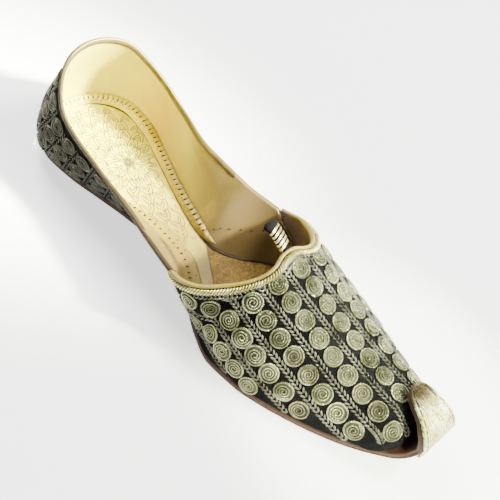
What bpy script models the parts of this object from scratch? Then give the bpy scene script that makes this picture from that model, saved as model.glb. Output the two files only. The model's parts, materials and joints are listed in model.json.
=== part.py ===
"""Mojari: a right slip-on shoe of embroidered leather with a curled-back toe.

Frame: the toe points to -Y, +Z is up, the outer (little toe) side is -X. Millimetres
below are turned into metres when a mesh is made. Stations are distances from the back
of the heel, measured along the shoe. The flat of the sole lies on Z = 0, and the origin
is under the middle of the shoe's bounding box.
"""
import math

import bmesh
import bpy

MM = 0.001
GAP = 0.3            # running gap between neighbouring pieces

# ---- driving sizes ---------------------------------------------------------------
BOARD = 3.4          # thickness of the sole board
WALL = 2.2           # velvet, leather and lining of the upper together
MARGIN = 0.5         # how far the board stands out beyond the upper
INSOLE = 2.0
SOCK = 1.2
COVER = 1.2          # gilt leather that faces the curled toe
COVER_FROM = 55.0    # degrees round the curl where that leather starts
CORD_R = 1.1         # rope that binds the throat
SPRING_FROM = 200.0  # the board is flat up to here, then rises to the toe
CURL_D, CURL_Z, CURL_R = 263.0, 21.5, 12.5   # axis and outer radius of the toe curl
TIP_RUN = 12.6       # straight run of the curled toe behind its top
TIP_LIFT = 0.8       # rise along that run
HEEL_POWER = 2.2     # roundness of the heel in plan

# Outline of the board: station, outer edge, inner edge (a row for each section).
OUTLINE = (
    (0, -27.2, 30.0), (26, -30.2, 30.6), (42, -28.8, 28.6), (60, -24.8, 22.6),
    (80, -20.6, 15.2), (100, -18.2, 8.6), (118, -20.4, 4.9), (130, -28.2, 10.0),
    (142, -35.8, 22.0), (155, -42.2, 32.5), (172, -46.4, 39.6), (190, -45.0, 42.0),
    (204, -41.4, 42.0), (230, -31.5, 37.0), (253, -21.5, 30.4), (261, -17.0, 27.8),
    (267.3, -13.3, 25.8),
)
HEEL_RADIUS = 26.0
# Edges of the curl: degrees round its axis from straight below, outer edge, inner edge.
CURL = (
    (20, -13.3, 25.8), (35, -11.1, 24.7), (50, -9.2, 23.5), (70, -7.4, 21.8),
    (90, -6.8, 20.4), (115, -7.2, 19.0), (140, -6.4, 18.0), (180, -2.4, 17.0),
)
TIP_OUTER, TIP_INNER = 3.8, 15.2     # edges of the toe near its end
# Rise of the board's underside up to the curl: station, height.
SPRING = ((SPRING_FROM, 0.0), (225, 0.8), (240, 2.7), (252, 5.2), (260, 7.4), (267.3, 9.75))

# Top line of the walls, which is the collar, then the throat, then the shoulder of the
# vamp: station, outer side, inner side, height, and the lean of the wall at its foot
# and at this line, in degrees, outward positive.
TOPLINE = (
    (7.4, -37.6, 33.6, 60.8, 22, -9), (15, -37.6, 33.6, 57.6, 30, -7),
    (26, -37.6, 33.6, 49.0, 54, -3), (40, -37.6, 33.6, 41.6, 52, 3), (56, -39.2, 32.6, 37.2, 38, 14),
    (84, -40.6, 28.4, 33.6, 28, 42), (112, -44.2, 28.4, 33.2, 24, 46),
    (130, -47.4, 31.2, 33.7, 18, 32), (138, -48.6, 33.2, 35.5, 14, 12),
    (147, -46.4, 33.4, 39.0, 9, -20), (154, -41.6, 30.9, 42.0, 6, -36),
    (164, -28.2, 22.6, 46.6, 3, -50), (180, -27.6, 24.4, 40.2, 1, -53),
    (196, -26.2, 26.2, 33.6, 1, -56), (210, -22.8, 25.6, 30.0, 1, -57),
    (224, -18.6, 23.8, 27.4, 1, -57), (238, -14.6, 21.6, 26.2, 1, -57),
    (252, -11.6, 19.4, 25.7, 1, -56),
)
# Ridge of the vamp: station, sideways place, height.
RIDGE = (
    (158, -3.4, 57.9), (168, -2.6, 54.0), (182, -0.5, 47.3), (196, 1.7, 40.9),
    (210, 3.1, 36.3), (224, 3.6, 32.9), (238, 3.8, 30.7), (252, 4.2, 29.4), (262, 4.9, 28.6),
)
THROAT_AT = 164.0    # station where the throat leaves the top line
PEAK = 3.6           # how far the middle of the throat reaches back from there
DIP = 3.4            # how far its two arcs reach forward
COLLAR_BACK, COLLAR_RADIUS = 7.4, 36.0
BACK_X = -1.2        # sideways place of the back seam
NOSE_FROM, NOSE_FOOT, NOSE_TOP, NOSE_X = 252.0, 267.6, 263.4, 6.6
NOSE_FALL = 0.12     # slope of the ridge where it meets the blunt toe


def track(rows, column, at):
    """Smooth value of a table's column at a station, without overshoot (Fritsch-Carlson)."""
    xs = [row[0] for row in rows]
    ys = [row[column] for row in rows]
    if at <= xs[0]:
        return ys[0]
    if at >= xs[-1]:
        return ys[-1]
    steps = [(ys[i + 1] - ys[i]) / (xs[i + 1] - xs[i]) for i in range(len(xs) - 1)]
    slopes = [steps[0]]
    for before, after in zip(steps, steps[1:]):
        slopes.append(2 * before * after / (before + after) if before * after > 0 else 0.0)
    slopes.append(steps[-1])
    i = max(k for k in range(len(steps)) if xs[k] <= at)
    run = xs[i + 1] - xs[i]
    t = (at - xs[i]) / run
    return (ys[i] * (1 + 2 * t) * (1 - t) ** 2 + ys[i + 1] * t * t * (3 - 2 * t)
            + run * slopes[i] * t * (1 - t) ** 2 - run * slopes[i + 1] * t * t * (1 - t))


def rounded(at, start, radius):
    """Share of the full half width at a station in the round of the heel."""
    t = min(max((at - start) / radius, 0.0), 1.0)
    return math.sqrt(max(1 - (1 - t) ** HEEL_POWER, 0.0))


def bed(at, above=0.0):
    """Height at a station of the face that lies this far above the board's underside."""
    start = CURL_D + (CURL_R - above) * math.sin(math.radians(CURL[0][0]))
    if at > start:
        return CURL_Z - math.sqrt(max((CURL_R - above) ** 2 - (at - CURL_D) ** 2, 0.0))
    return track(SPRING, 1, at) + above / math.cos(pitch(at))


def pitch(at):
    """Slope of the board at a station, in radians."""
    return math.atan2(track(SPRING, 1, at + 0.5) - track(SPRING, 1, at - 0.5), 1.0)


def bezier(a, b, c, d, t):
    s = 1 - t
    return tuple(s * s * s * p + 3 * s * s * t * q + 3 * s * t * t * r + t * t * t * u
                 for p, q, r, u in zip(a, b, c, d))


def edge(at, side, inset=0.0):
    """Sideways place of a line that runs this far inside the board's edge, square to it.
    Side -1 is the outer side, 1 the inner."""
    column = 1 if side < 0 else 2
    slope = 0.5 * (track(OUTLINE, column, at + 1) - track(OUTLINE, column, at - 1))
    value = track(OUTLINE, column, at) - side * inset * math.hypot(1.0, slope)
    return BACK_X + (value - BACK_X) * rounded(at, inset, HEEL_RADIUS)


# ---- the upper's own function ------------------------------------------------------
def foot(at, side):
    """Foot line of the upper, just inside the edge of the board."""
    return (edge(at, side, MARGIN), at, bed(at, BOARD + GAP + 0.1))


def top(at, side):
    """Collar, throat and shoulder line."""
    share = rounded(at, COLLAR_BACK, COLLAR_RADIUS)
    x = BACK_X + (track(TOPLINE, 1 if side < 0 else 2, at) - BACK_X) * share
    return (x, at, track(TOPLINE, 3, at))


def wall(column, side, v):
    """Point of the wall at height share v. A column is (kind, value, 0..1 round the end)."""
    kind, at, turn = column
    out = (side, 0.0)
    if kind == "heel":
        low, high = foot(MARGIN + (40 - MARGIN) * turn, side), top(
            COLLAR_BACK + (40 - COLLAR_BACK) * turn, side)
        angle = math.radians(90 * min(turn * 1.6, 1.0) ** 0.55)
        out = (side * math.sin(angle), -math.cos(angle))
    elif kind == "nose":
        low, high = nose(side, turn, 0), nose(side, turn, 1)
        angle = math.radians(90 * turn)
        out = (side * math.cos(angle), math.sin(angle))
    else:
        low, high = foot(at, side), top(at, side)
    pull = 0.36 * math.dist(low, high)
    f = math.radians(track(TOPLINE, 4, high[1]))
    h = math.radians(track(TOPLINE, 5, high[1]))
    b = (low[0] + pull * math.sin(f) * out[0], low[1] + pull * math.sin(f) * out[1],
         low[2] + pull * math.cos(f))
    c = (high[0] - pull * math.sin(h) * out[0], high[1] - pull * math.sin(h) * out[1],
         high[2] - pull * math.cos(h))
    return bezier(low, b, c, high, v)


def nose(side, turn, level):
    """Round of the blunt toe: level 0 is the foot line, 1 the shoulder."""
    reach = (NOSE_FOOT, NOSE_TOP)[level] - NOSE_FROM
    start = (foot, top)[level](NOSE_FROM, side)
    angle = math.radians(90 * turn)
    middle = track(RIDGE, 1, NOSE_FROM)
    x = middle + (NOSE_X - middle) * math.sin(angle) ** 1.2
    x += (start[0] - middle) * math.cos(angle) ** 0.86
    at = NOSE_FROM + reach * math.sin(angle) ** 0.86
    if level == 0:
        return (x, at, bed(at, BOARD + GAP))
    return (x, at, start[2] - 3.2 * math.sin(angle) ** 2)


def crown(at, side, t):
    """Point between the shoulder (t = 0) and the ridge (t = 1)."""
    low = top(at, side)
    high = (track(RIDGE, 1, at), at, track(RIDGE, 2, at))
    h = math.radians(track(TOPLINE, 5, at))
    pull = 0.36 * math.dist(low, high)
    b = (low[0] + side * pull * math.sin(h), at, low[2] + pull * math.cos(h))
    c = (high[0] + side * pull, at, high[2])
    return bezier(low, b, c, high, t)


def nose_cap(side, turn):
    """Line over the blunt toe, from its shoulder back to the end of the ridge."""
    low = nose(side, turn, 1)
    high = (track(RIDGE, 1, NOSE_FROM), NOSE_FROM, track(RIDGE, 2, NOSE_FROM))
    angle = math.radians(90 * turn)
    out = (side * math.cos(angle), math.sin(angle))
    h = math.radians(track(TOPLINE, 5, NOSE_FROM))
    pull = 0.36 * math.dist(low, high)
    b = (low[0] + pull * math.sin(h) * out[0], low[1] + pull * math.sin(h) * out[1],
         low[2] + pull * math.cos(h))
    c = (high[0] + pull * out[0], high[1] + pull * out[1], high[2] - pull * NOSE_FALL * out[1])
    return [bezier(low, b, c, high, k / CROWN_STEPS) for k in range(CROWN_STEPS + 1)]


def throat_shift(t):
    """How far the throat's edge lies forward of its station between shoulder and peak."""
    return DIP * math.sin(math.pi * min(t / 0.86, 1.0)) ** 1.1 - PEAK * max(t - 0.3, 0) ** 2 / 0.49


def columns():
    """Columns of the wall from the tip of the toe, back along one side, to the heel."""
    nose_turns = (1.0, 0.88, 0.76, 0.63, 0.5, 0.37, 0.24, 0.12)
    stations = (252, 244, 236, 228, 220, 212, 204, 196, 188, 180, 172, 164,
                159, 154, 150, 146, 142, 138, 134, 130, 126, 120, 113, 106, 98, 90, 81, 72, 63,
                55, 47)
    heel_turns = (1.0, 0.88, 0.77, 0.67, 0.58, 0.49, 0.41, 0.33, 0.26, 0.19, 0.13, 0.07, 0.03, 0.0)
    rows = [("nose", 252.0, turn) for turn in nose_turns]
    rows += [("side", float(at), 0.0) for at in stations]
    rows += [("heel", 40.0, turn * turn) for turn in heel_turns]
    return rows


# ---- scene helpers -----------------------------------------------------------------
def wipe():
    for old in list(bpy.data.objects):
        bpy.data.objects.remove(old, do_unlink=True)
    made = bpy.data.collections.new("mojari")
    bpy.context.scene.collection.children.link(made)
    return made


def paint(obj, colour, roughness, metallic=0.0):
    material = bpy.data.materials.new(obj.name)
    material.use_nodes = True
    shader = material.node_tree.nodes["Principled BSDF"]
    shader.inputs["Base Color"].default_value = (*colour, 1.0)
    shader.inputs["Roughness"].default_value = roughness
    shader.inputs["Metallic"].default_value = metallic
    obj.data.materials.append(material)


def place(point):
    """Shoe millimetres (sideways, station, height) to the frame in metres."""
    return ((point[0] - MIDDLE_X) * MM, (MIDDLE_AT - point[1]) * MM, point[2] * MM)


def grid_object(name, rows, ring=False, extra=()):
    """Surface through rows of points, joined where rows or points meet."""
    mesh = bpy.data.meshes.new(name)
    bm = bmesh.new()
    made = [[bm.verts.new(place(p)) for p in row] for row in rows]
    pairs = list(zip(made, made[1:] + ([made[0]] if ring else [])))
    for one, two in (pairs if ring else pairs[:len(made) - 1]):
        for a, b, c, d in zip(one, one[1:], two[1:], two):
            bm.faces.new((a, b, c, d))
    for rows_more in extra:
        more = [[bm.verts.new(place(p)) for p in row] for row in rows_more]
        for one, two in zip(more, more[1:]):
            for a, b, c, d in zip(one, one[1:], two[1:], two):
                bm.faces.new((a, b, c, d))
    bmesh.ops.remove_doubles(bm, verts=bm.verts, dist=0.00002)
    bm.to_mesh(mesh)
    bm.free()
    obj = bpy.data.objects.new(name, mesh)
    SHOE.objects.link(obj)
    mesh.shade_smooth()
    return obj


def thicken(obj, thickness, offset=-1.0):
    """Give an open surface its thickness on the side away from its faces' fronts."""
    solid = obj.modifiers.new("thickness", "SOLIDIFY")
    solid.thickness = thickness * MM
    solid.offset = offset
    solid.use_even_offset = True
    solid.use_rim = True
    return obj


# ---- outsole -------------------------------------------------------------------------
def board_path(lift=0.0):
    """Rows along the board's outer face: station, height, outer edge, inner edge, and the
    direction away from the board. Lift moves the row off the face."""
    rows = []
    for turn in (0.012, 0.05, 0.12, 0.22, 0.35, 0.5, 0.68, 0.86):
        at = 26 * turn
        rows.append((at, 0.0, edge(at, -1), edge(at, 1), 0.0))
    at = 26.0
    while at < 264:
        rows.append((at, bed(at), edge(at, -1), edge(at, 1), pitch(at)))
        at += 9.0 if at < 197 else 6.0
    for turn in range(CURL[0][0], 181, 10):
        a = math.radians(turn)
        rows.append((CURL_D + CURL_R * math.sin(a), CURL_Z - CURL_R * math.cos(a),
                     track(CURL, 1, turn), track(CURL, 2, turn), a))
    for run in (0.22, 0.42, 0.60, 0.75, 0.86, 0.94, 0.985):
        back = run * TIP_RUN
        end = math.sqrt(max(1 - max((run - 0.6) / 0.4, 0.0) ** 2.4, 0.0))
        left = CURL[-1][1] + (TIP_OUTER - CURL[-1][1]) * run
        right = CURL[-1][2] + (TIP_INNER - CURL[-1][2]) * run
        middle, half = (left + right) / 2, (right - left) / 2 * end
        rows.append((CURL_D - back, CURL_Z + CURL_R + TIP_LIFT * run, middle - half,
                     middle + half, math.pi))
    return [(at + lift * math.sin(a), z - lift * math.cos(a), left, right, a)
            for at, z, left, right, a in rows]


def across(row, parts=6):
    at, z, left, right, _ = row
    return [(left + (right - left) * k / parts, at, z) for k in range(parts + 1)]


def make_outsole():
    obj = grid_object("outsole", [across(row) for row in board_path()])
    thicken(obj, BOARD)
    paint(obj, (0.36, 0.22, 0.11), 0.6)
    return obj


def make_toe_cover():
    """Gilt leather on the outer face of the curl, from under the toe to its end."""
    rows = [row for row in board_path(GAP) if row[4] > math.radians(COVER_FROM)]
    obj = grid_object("toe_cover", [across(row)[::-1] for row in rows])
    thicken(obj, COVER)
    paint(obj, (0.83, 0.74, 0.50), 0.32, 0.85)
    return obj


# ---- upper ---------------------------------------------------------------------------
WALL_STEPS = 7
CROWN_STEPS = 6


def make_upper():
    half = columns()
    around = [(c, -1) for c in half] + [(c, 1) for c in half[::-1][1:-1]]
    rows = [[wall(c, side, k / WALL_STEPS) for k in range(WALL_STEPS + 1)] for c, side in around]
    cap = []
    front = [c for c in half if c[0] == "side" and c[1] >= THROAT_AT][::-1]
    for n, column in enumerate(front):
        fade = max(1 - n / 4, 0.0) ** 1.5
        line = []
        for side, order in ((-1, range(CROWN_STEPS + 1)), (1, range(CROWN_STEPS - 1, -1, -1))):
            for k in order:
                t = k / CROWN_STEPS
                line.append(crown(column[1] + throat_shift(t) * fade * (k > 0), side, t))
        cap.append(line)
    turns = [c[2] for c in half if c[0] == "nose"][::-1]
    fan = [nose_cap(-1, turn) for turn in [0.0] + turns]
    fan += [nose_cap(1, turn) for turn in turns[-2::-1] + [0.0]]
    obj = grid_object("upper", rows, ring=True,
                      extra=([line[::-1] for line in cap], fan[::-1]))
    thicken(obj, WALL)
    paint(obj, (0.02, 0.022, 0.026), 0.9)
    return obj


# ---- insole and sock -------------------------------------------------------------------
def floor_rows(start, end, inset, height, front=None):
    """Rows of a flat piece inside the upper, across from the outer to the inner side."""
    stations = [start + 26 * t for t in (0.003, 0.03, 0.09, 0.18, 0.3, 0.45, 0.65, 0.85)]
    at = start + 28
    while at < end - 1:
        stations.append(at)
        at += 7.0
    stations.append(end)
    rows = []
    for at in stations:
        sides = [edge(at, side, inset) for side in (-1, 1)]
        if end > 240:
            close = min((end - at) / 15.0, 1.0)
            share = max(math.sqrt(max(1 - (1 - close) ** 2.2, 0.0)), 0.10)
            middle = NOSE_X + (sum(sides) / 2 - NOSE_X) * close
            sides = [middle + (x - sum(sides) / 2) * share for x in sides]
        rows.append([(sides[0] + (sides[1] - sides[0]) * k / 4,
                      at + (front(k / 4, at) if front else 0.0), bed(at, height))
                     for k in range(5)])
    return rows


def make_insole():
    inset = MARGIN + WALL + 1.3
    obj = grid_object("insole", [row[::-1] for row in floor_rows(
        inset, NOSE_FOOT - WALL - 0.9, inset, BOARD + GAP + INSOLE)])
    thicken(obj, INSOLE)
    paint(obj, (0.45, 0.28, 0.12), 0.9)
    return obj


def make_sock():
    """Printed sock from the heel to the waist, cut aslant at its front."""
    inset = MARGIN + WALL + 1.8

    def slant(share, at):
        return (1 - share) * 16.0 * max((at - 92) / 26.0, 0.0)

    obj = grid_object("sock", [row[::-1] for row in floor_rows(
        inset, 119.0, inset, BOARD + 2 * GAP + INSOLE + SOCK, slant)])
    thicken(obj, SOCK)
    paint(obj, (0.85, 0.76, 0.52), 0.5)
    return obj


# ---- throat cord and tab ---------------------------------------------------------------
def on_surface(point, ahead, beside, lift, outward):
    """Point lifted off the surface that two neighbours span, to the side of a direction."""
    u = [q - p for p, q in zip(point, ahead)]
    w = [q - p for p, q in zip(point, beside)]
    n = (u[1] * w[2] - u[2] * w[1], u[2] * w[0] - u[0] * w[2], u[0] * w[1] - u[1] * w[0])
    size = math.sqrt(sum(c * c for c in n))
    if sum(p * q for p, q in zip(n, outward)) < 0:
        size = -size
    return tuple(p + lift * c / size for p, c in zip(point, n))


def cord_line():
    """Middle of the rope, just off the upper, along the throat from wing to wing."""
    setback, lift = 2.4, CORD_R + GAP + 0.25
    line = []
    for side in (-1, 1):
        part = []
        for at in (131, 134, 137, 140, 143, 146, 149, 152, 155, 158, 161):
            v = 1 - setback / math.dist(foot(at, side), top(at, side))
            here = wall(("side", at, 0), side, v)
            n = on_surface(here, wall(("side", at + 1, 0), side, v),
                           wall(("side", at, 0), side, v - 0.05), lift, (side, 0, 0.3))
            part.append(n)
        for t in (0.02, 0.16, 0.30, 0.44, 0.58, 0.70, 0.80, 0.89):
            at = THROAT_AT + throat_shift(t) + setback * (1 + 0.25 * t)
            here = crown(at, side, t)
            n = on_surface(here, crown(at + 1, side, t), crown(at, side, t + 0.04), lift,
                           (0, 0, 1))
            part.append(n)
        line += part if side < 0 else part[::-1]
    at = THROAT_AT + throat_shift(1.0) + setback * 1.25
    here = crown(at, -1, 1.0)
    middle = (here[0], here[1], here[2] + lift + 0.1)
    half = len(line) // 2
    return line[:half] + [middle] + line[half:]


def make_cord():
    curve = bpy.data.curves.new("throat_cord", "CURVE")
    curve.dimensions = "3D"
    curve.bevel_depth = CORD_R * MM
    curve.bevel_resolution = 2
    curve.use_fill_caps = True
    points = cord_line()
    spline = curve.splines.new("POLY")
    spline.points.add(len(points) - 1)
    for target, point in zip(spline.points, points):
        target.co = (*place(point), 1.0)
    tube = bpy.data.objects.new("throat_cord_line", curve)
    SHOE.objects.link(tube)
    bpy.context.view_layer.update()
    seen = tube.evaluated_get(bpy.context.evaluated_depsgraph_get())
    mesh = bpy.data.meshes.new_from_object(seen)
    mesh.name = "throat_cord"
    bm = bmesh.new()
    bm.from_mesh(mesh)
    bmesh.ops.remove_doubles(bm, verts=bm.verts, dist=0.00001)
    bmesh.ops.recalc_face_normals(bm, faces=bm.faces)
    bm.to_mesh(mesh)
    bm.free()
    obj = bpy.data.objects.new("throat_cord", mesh)
    obj.matrix_world = tube.matrix_world
    SHOE.objects.link(obj)
    bpy.data.objects.remove(tube, do_unlink=True)
    mesh.shade_smooth()
    paint(obj, (0.80, 0.68, 0.40), 0.35, 0.8)
    return obj


def make_tab():
    """Wire-wound tab at the peak of the throat, rising back over the opening."""
    root_at = THROAT_AT + throat_shift(1.0)
    root = (track(RIDGE, 1, root_at), root_at - GAP - 0.4, track(RIDGE, 2, root_at) - 1.6)
    # share of the length, half width, half thickness
    leaf = ((0.0, 2.4, 1.0), (0.12, 2.8, 1.5), (0.4, 3.3, 1.9), (0.7, 3.9, 2.0),
            (0.88, 3.8, 1.8), (0.97, 2.6, 1.2), (1.0, 1.0, 0.5))
    length, sides = 13.0, 12
    rows = []
    for n in range(15):
        share = n / 14
        at = root[1] - length * share * 0.93
        z = root[2] + 1.2 + 3.4 * math.sin(share * 1.9)
        slope = math.atan2(3.4 * 1.9 * math.cos(share * 1.9), length * 0.93)
        half, thick = track(leaf, 1, share), track(leaf, 2, share)
        ring = []
        for k in range(sides):
            a = 2 * math.pi * k / sides
            up = thick * math.sin(a)
            ring.append((root[0] + half * math.cos(a), at + up * math.sin(slope),
                         z + up * math.cos(slope)))
        rows.append(ring)
    mesh = bpy.data.meshes.new("throat_tab")
    bm = bmesh.new()
    made = [[bm.verts.new(place(p)) for p in ring] for ring in rows]
    for one, two in zip(made, made[1:]):
        for k in range(sides):
            bm.faces.new((one[k], one[k - 1], two[k - 1], two[k]))
    bm.faces.new(made[0])
    bm.faces.new(made[-1][::-1])
    bmesh.ops.recalc_face_normals(bm, faces=bm.faces)
    bm.to_mesh(mesh)
    bm.free()
    obj = bpy.data.objects.new("throat_tab", mesh)
    SHOE.objects.link(obj)
    mesh.shade_smooth()
    paint(obj, (0.80, 0.72, 0.46), 0.35, 0.8)
    return obj


# The frame's origin lies under the middle of the bounding box.
MIDDLE_X = -4.385
MIDDLE_AT = 137.465
SHOE = wipe()
make_outsole()
make_toe_cover()
make_upper()
make_insole()
make_sock()
make_cord()
make_tab()
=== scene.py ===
"""Right mojari shoe: velvet upper worked in coiled metal thread, board sole, gilt curled toe."""

import json
import math

import bpy
import numpy as np
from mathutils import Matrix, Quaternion, Vector

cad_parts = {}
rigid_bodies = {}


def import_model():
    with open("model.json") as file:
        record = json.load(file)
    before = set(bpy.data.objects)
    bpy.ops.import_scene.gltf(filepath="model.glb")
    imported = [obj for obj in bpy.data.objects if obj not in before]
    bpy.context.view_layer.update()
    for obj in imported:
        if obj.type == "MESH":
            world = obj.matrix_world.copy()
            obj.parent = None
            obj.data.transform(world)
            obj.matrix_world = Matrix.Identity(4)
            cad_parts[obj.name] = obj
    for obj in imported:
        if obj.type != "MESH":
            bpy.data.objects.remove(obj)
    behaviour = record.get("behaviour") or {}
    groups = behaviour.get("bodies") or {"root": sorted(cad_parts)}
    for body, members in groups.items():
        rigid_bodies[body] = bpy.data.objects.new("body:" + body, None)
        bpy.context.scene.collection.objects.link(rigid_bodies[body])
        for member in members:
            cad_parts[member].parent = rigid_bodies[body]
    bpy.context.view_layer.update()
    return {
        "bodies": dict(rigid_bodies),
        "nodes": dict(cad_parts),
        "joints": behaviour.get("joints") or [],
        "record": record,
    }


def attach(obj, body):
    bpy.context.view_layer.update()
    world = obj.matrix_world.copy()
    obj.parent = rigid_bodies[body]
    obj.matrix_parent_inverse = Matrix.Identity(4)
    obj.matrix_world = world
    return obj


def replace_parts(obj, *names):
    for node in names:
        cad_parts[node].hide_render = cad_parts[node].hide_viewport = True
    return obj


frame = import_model()
MM = 0.001


# ---- view, floor and light -----------------------------------------------------------
# The shoe stands alone on a wide pale floor, seen from above its outer side and a little
# tilted, in soft light from large overhead panels.
VIEW_FROM = (-0.3259, -0.1571, 0.4423)
VIEW_AZIMUTH, VIEW_ELEVATION, VIEW_ROLL = -65.468, 48.570, 26.070
VIEW_LENS = 77.0
FLOOR_SIZE, FLOOR_GLOW, SKY_LIGHT = 6.0, 1.3, 0.27
PANELS = (
    # name, place, size, power, warmth
    ("panel_inner", (0.60, -0.42, 1.12), 0.4, 34.0, (1.0, 0.985, 0.95)),
    ("panel_heel", (0.25, 0.95, 1.15), 0.6, 34.0, (1.0, 0.99, 0.97)),
    ("panel_outer", (-1.1, -0.15, 1.0), 0.6, 3.0, (1.0, 0.99, 0.98)),
    ("panel_toe", (0.1, -1.1, 1.0), 0.45, 12.0, (1.0, 0.99, 0.97)),
)
PANEL_AIM, SPOT_COLOUR, SPOT_SOFT = (0, 0, 0.02), (1.0, 1.0, 0.76), 0.08
SPOTS = (
    # name, place, aim, cone in degrees, power
    ("spot_heel", (0.33, -0.42, 0.52), (-0.008, 0.115, 0.04), 13.0, 1200.0),
    ("spot_toe", (-0.1, -0.80, 0.75), (0.014, -0.141, 0.03), 3.5, 3000.0),
)


def look_along(azimuth, elevation):
    """Unit vector from the object back to the eye."""
    a, e = math.radians(azimuth), math.radians(elevation)
    return Vector((math.sin(a) * math.cos(e), -math.cos(a) * math.cos(e), math.sin(e)))


camera = bpy.data.objects.new("camera", bpy.data.cameras.new("camera"))
bpy.context.scene.collection.objects.link(camera)
camera.location = VIEW_FROM
camera.rotation_mode = "QUATERNION"
facing = (-look_along(VIEW_AZIMUTH, VIEW_ELEVATION)).to_track_quat("-Z", "Y")
roll = Quaternion((0, 0, 1), math.radians(VIEW_ROLL))
camera.rotation_quaternion = facing @ roll
camera.data.lens = VIEW_LENS
camera.data.sensor_width = 36.0
camera.data.clip_start, camera.data.clip_end = 0.02, 20.0
bpy.context.scene.camera = camera

floor_mesh = bpy.data.meshes.new("floor")
half = FLOOR_SIZE / 2
floor_mesh.from_pydata([(-half, -half, 0), (half, -half, 0), (half, half, 0), (-half, half, 0)], [],
                       [(0, 1, 2, 3)])
floor = bpy.data.objects.new("floor", floor_mesh)
bpy.context.scene.collection.objects.link(floor)
floor_finish = bpy.data.materials.new("floor")
floor_finish.use_nodes = True
for label, value in (("Base Color", (0.97, 0.97, 0.97, 1)), ("Roughness", 0.6),
                     ("Emission Color", (1, 1, 1, 1)), ("Emission Strength", FLOOR_GLOW)):
    floor_finish.node_tree.nodes["Principled BSDF"].inputs[label].default_value = value
floor_mesh.materials.append(floor_finish)


def hang_lamp(name, kind, place, aim, power, colour):
    """Light at a place, turned towards its aim."""
    lamp = bpy.data.lights.new(name, kind)
    lamp.energy, lamp.color = power, colour
    hung = bpy.data.objects.new(name, lamp)
    hung.location = place
    hung.rotation_mode = "QUATERNION"
    hung.rotation_quaternion = (Vector(aim) - Vector(place)).to_track_quat("-Z", "Y")
    bpy.context.scene.collection.objects.link(hung)
    return lamp


for name, place, size, power, warmth in PANELS:
    lamp = hang_lamp(name, "AREA", place, PANEL_AIM, power, warmth)
    lamp.shape, lamp.size = "SQUARE", size
for name, place, aim, cone, power in SPOTS:
    lamp = hang_lamp(name, "SPOT", place, aim, power, SPOT_COLOUR)
    lamp.spot_size, lamp.spot_blend, lamp.shadow_soft_size = math.radians(cone), 1.0, SPOT_SOFT

sky = bpy.data.worlds.new("studio")
sky.use_nodes = True
sky.node_tree.nodes["Background"].inputs["Color"].default_value = (1, 1, 1, 1)
sky.node_tree.nodes["Background"].inputs["Strength"].default_value = SKY_LIGHT
bpy.context.scene.world = sky


# ---- upper: the last's surface -------------------------------------------------------
# Everything is sewn to one hollow upper. Its surface runs from the foot line inside the
# sole's edge up to the collar, throat and shoulder, and over the vamp to the ridge.
# Sizes are millimetres: sideways (inner side positive), station from the heel, height.
SHIFT_X, SHIFT_AT = 4.385, 137.465      # from these measures to the frame's middle
BOARD, GAP, MARGIN = 3.4, 0.3, 0.5
FOOT_LIFT = BOARD + GAP + 0.1
CURL_AT, CURL_Z, CURL_R, CURL_FROM = 263.0, 21.5, 12.5, 20
BACK_X, HEEL_POWER, HEEL_RADIUS = -1.2, 2.2, 26.0
# Edge of the board: station, outer side, inner side.
OUTLINE = np.array((
    (0, -27.2, 30.0), (26, -30.2, 30.6), (42, -28.8, 28.6), (60, -24.8, 22.6),
    (80, -20.6, 15.2), (100, -18.2, 8.6), (118, -20.0, 4.9), (130, -26.0, 10.0),
    (142, -33.0, 22.0), (155, -40.6, 32.5), (172, -46.4, 39.6), (190, -45.0, 42.0),
    (204, -41.4, 42.0), (230, -31.5, 37.0), (253, -21.5, 30.4), (261, -17.0, 27.8),
    (267.3, -13.3, 25.8)))
# Rise of the board's underside: station, height.
SPRING = np.array(((200, 0.0), (225, 0.8), (240, 2.7), (252, 5.2), (260, 7.4), (267.3, 9.75)))
# Top line of the walls: station, outer side, inner side, height, lean at the foot and at
# the top in degrees.
TOPLINE = np.array((
    (7.4, -37.6, 33.6, 60.8, 22, -9), (15, -37.6, 33.6, 57.6, 30, -7),
    (26, -37.6, 33.6, 49.0, 54, -3), (40, -36.8, 33.6, 41.6, 52, 3),
    (56, -37.2, 32.6, 37.2, 38, 14), (84, -39.2, 28.4, 33.6, 28, 42),
    (112, -44.2, 28.4, 33.2, 28, 46), (130, -47.4, 31.2, 33.7, 44, 32),
    (138, -48.6, 33.2, 35.5, 44, 12), (147, -46.4, 33.4, 39.0, 34, -20),
    (154, -41.6, 30.9, 42.0, 20, -36), (164, -28.2, 22.6, 46.6, 7, -50),
    (180, -27.6, 24.4, 40.2, 1, -53), (196, -26.2, 26.2, 33.6, 1, -56),
    (210, -22.8, 25.6, 30.0, 1, -57), (224, -18.6, 23.8, 27.4, 1, -57),
    (238, -14.6, 21.6, 26.2, 1, -57), (252, -11.6, 19.4, 25.7, 1, -56)))
# Ridge of the vamp: station, sideways place, height.
RIDGE = np.array((
    (158, -3.4, 57.9), (168, -2.6, 54.0), (182, -0.5, 47.3), (196, 1.7, 40.9),
    (210, 3.1, 36.3), (224, 3.6, 32.9), (238, 3.8, 30.7), (252, 4.2, 29.4), (262, 4.9, 28.6)))
THROAT_AT, THROAT_PEAK, THROAT_DIP = 164.0, 3.6, 3.4
PULL = 0.36      # how far a cubic runs on at its ends, in lengths of its chord
COLLAR_BACK, COLLAR_RADIUS, HEEL_END = 7.4, 36.0, 40.0
NOSE_FROM, NOSE_FOOT, NOSE_TOP, NOSE_X, NOSE_FALL, NOSE_DROP = 252.0, 267.6, 263.4, 6.6, 0.12, 3.2


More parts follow.
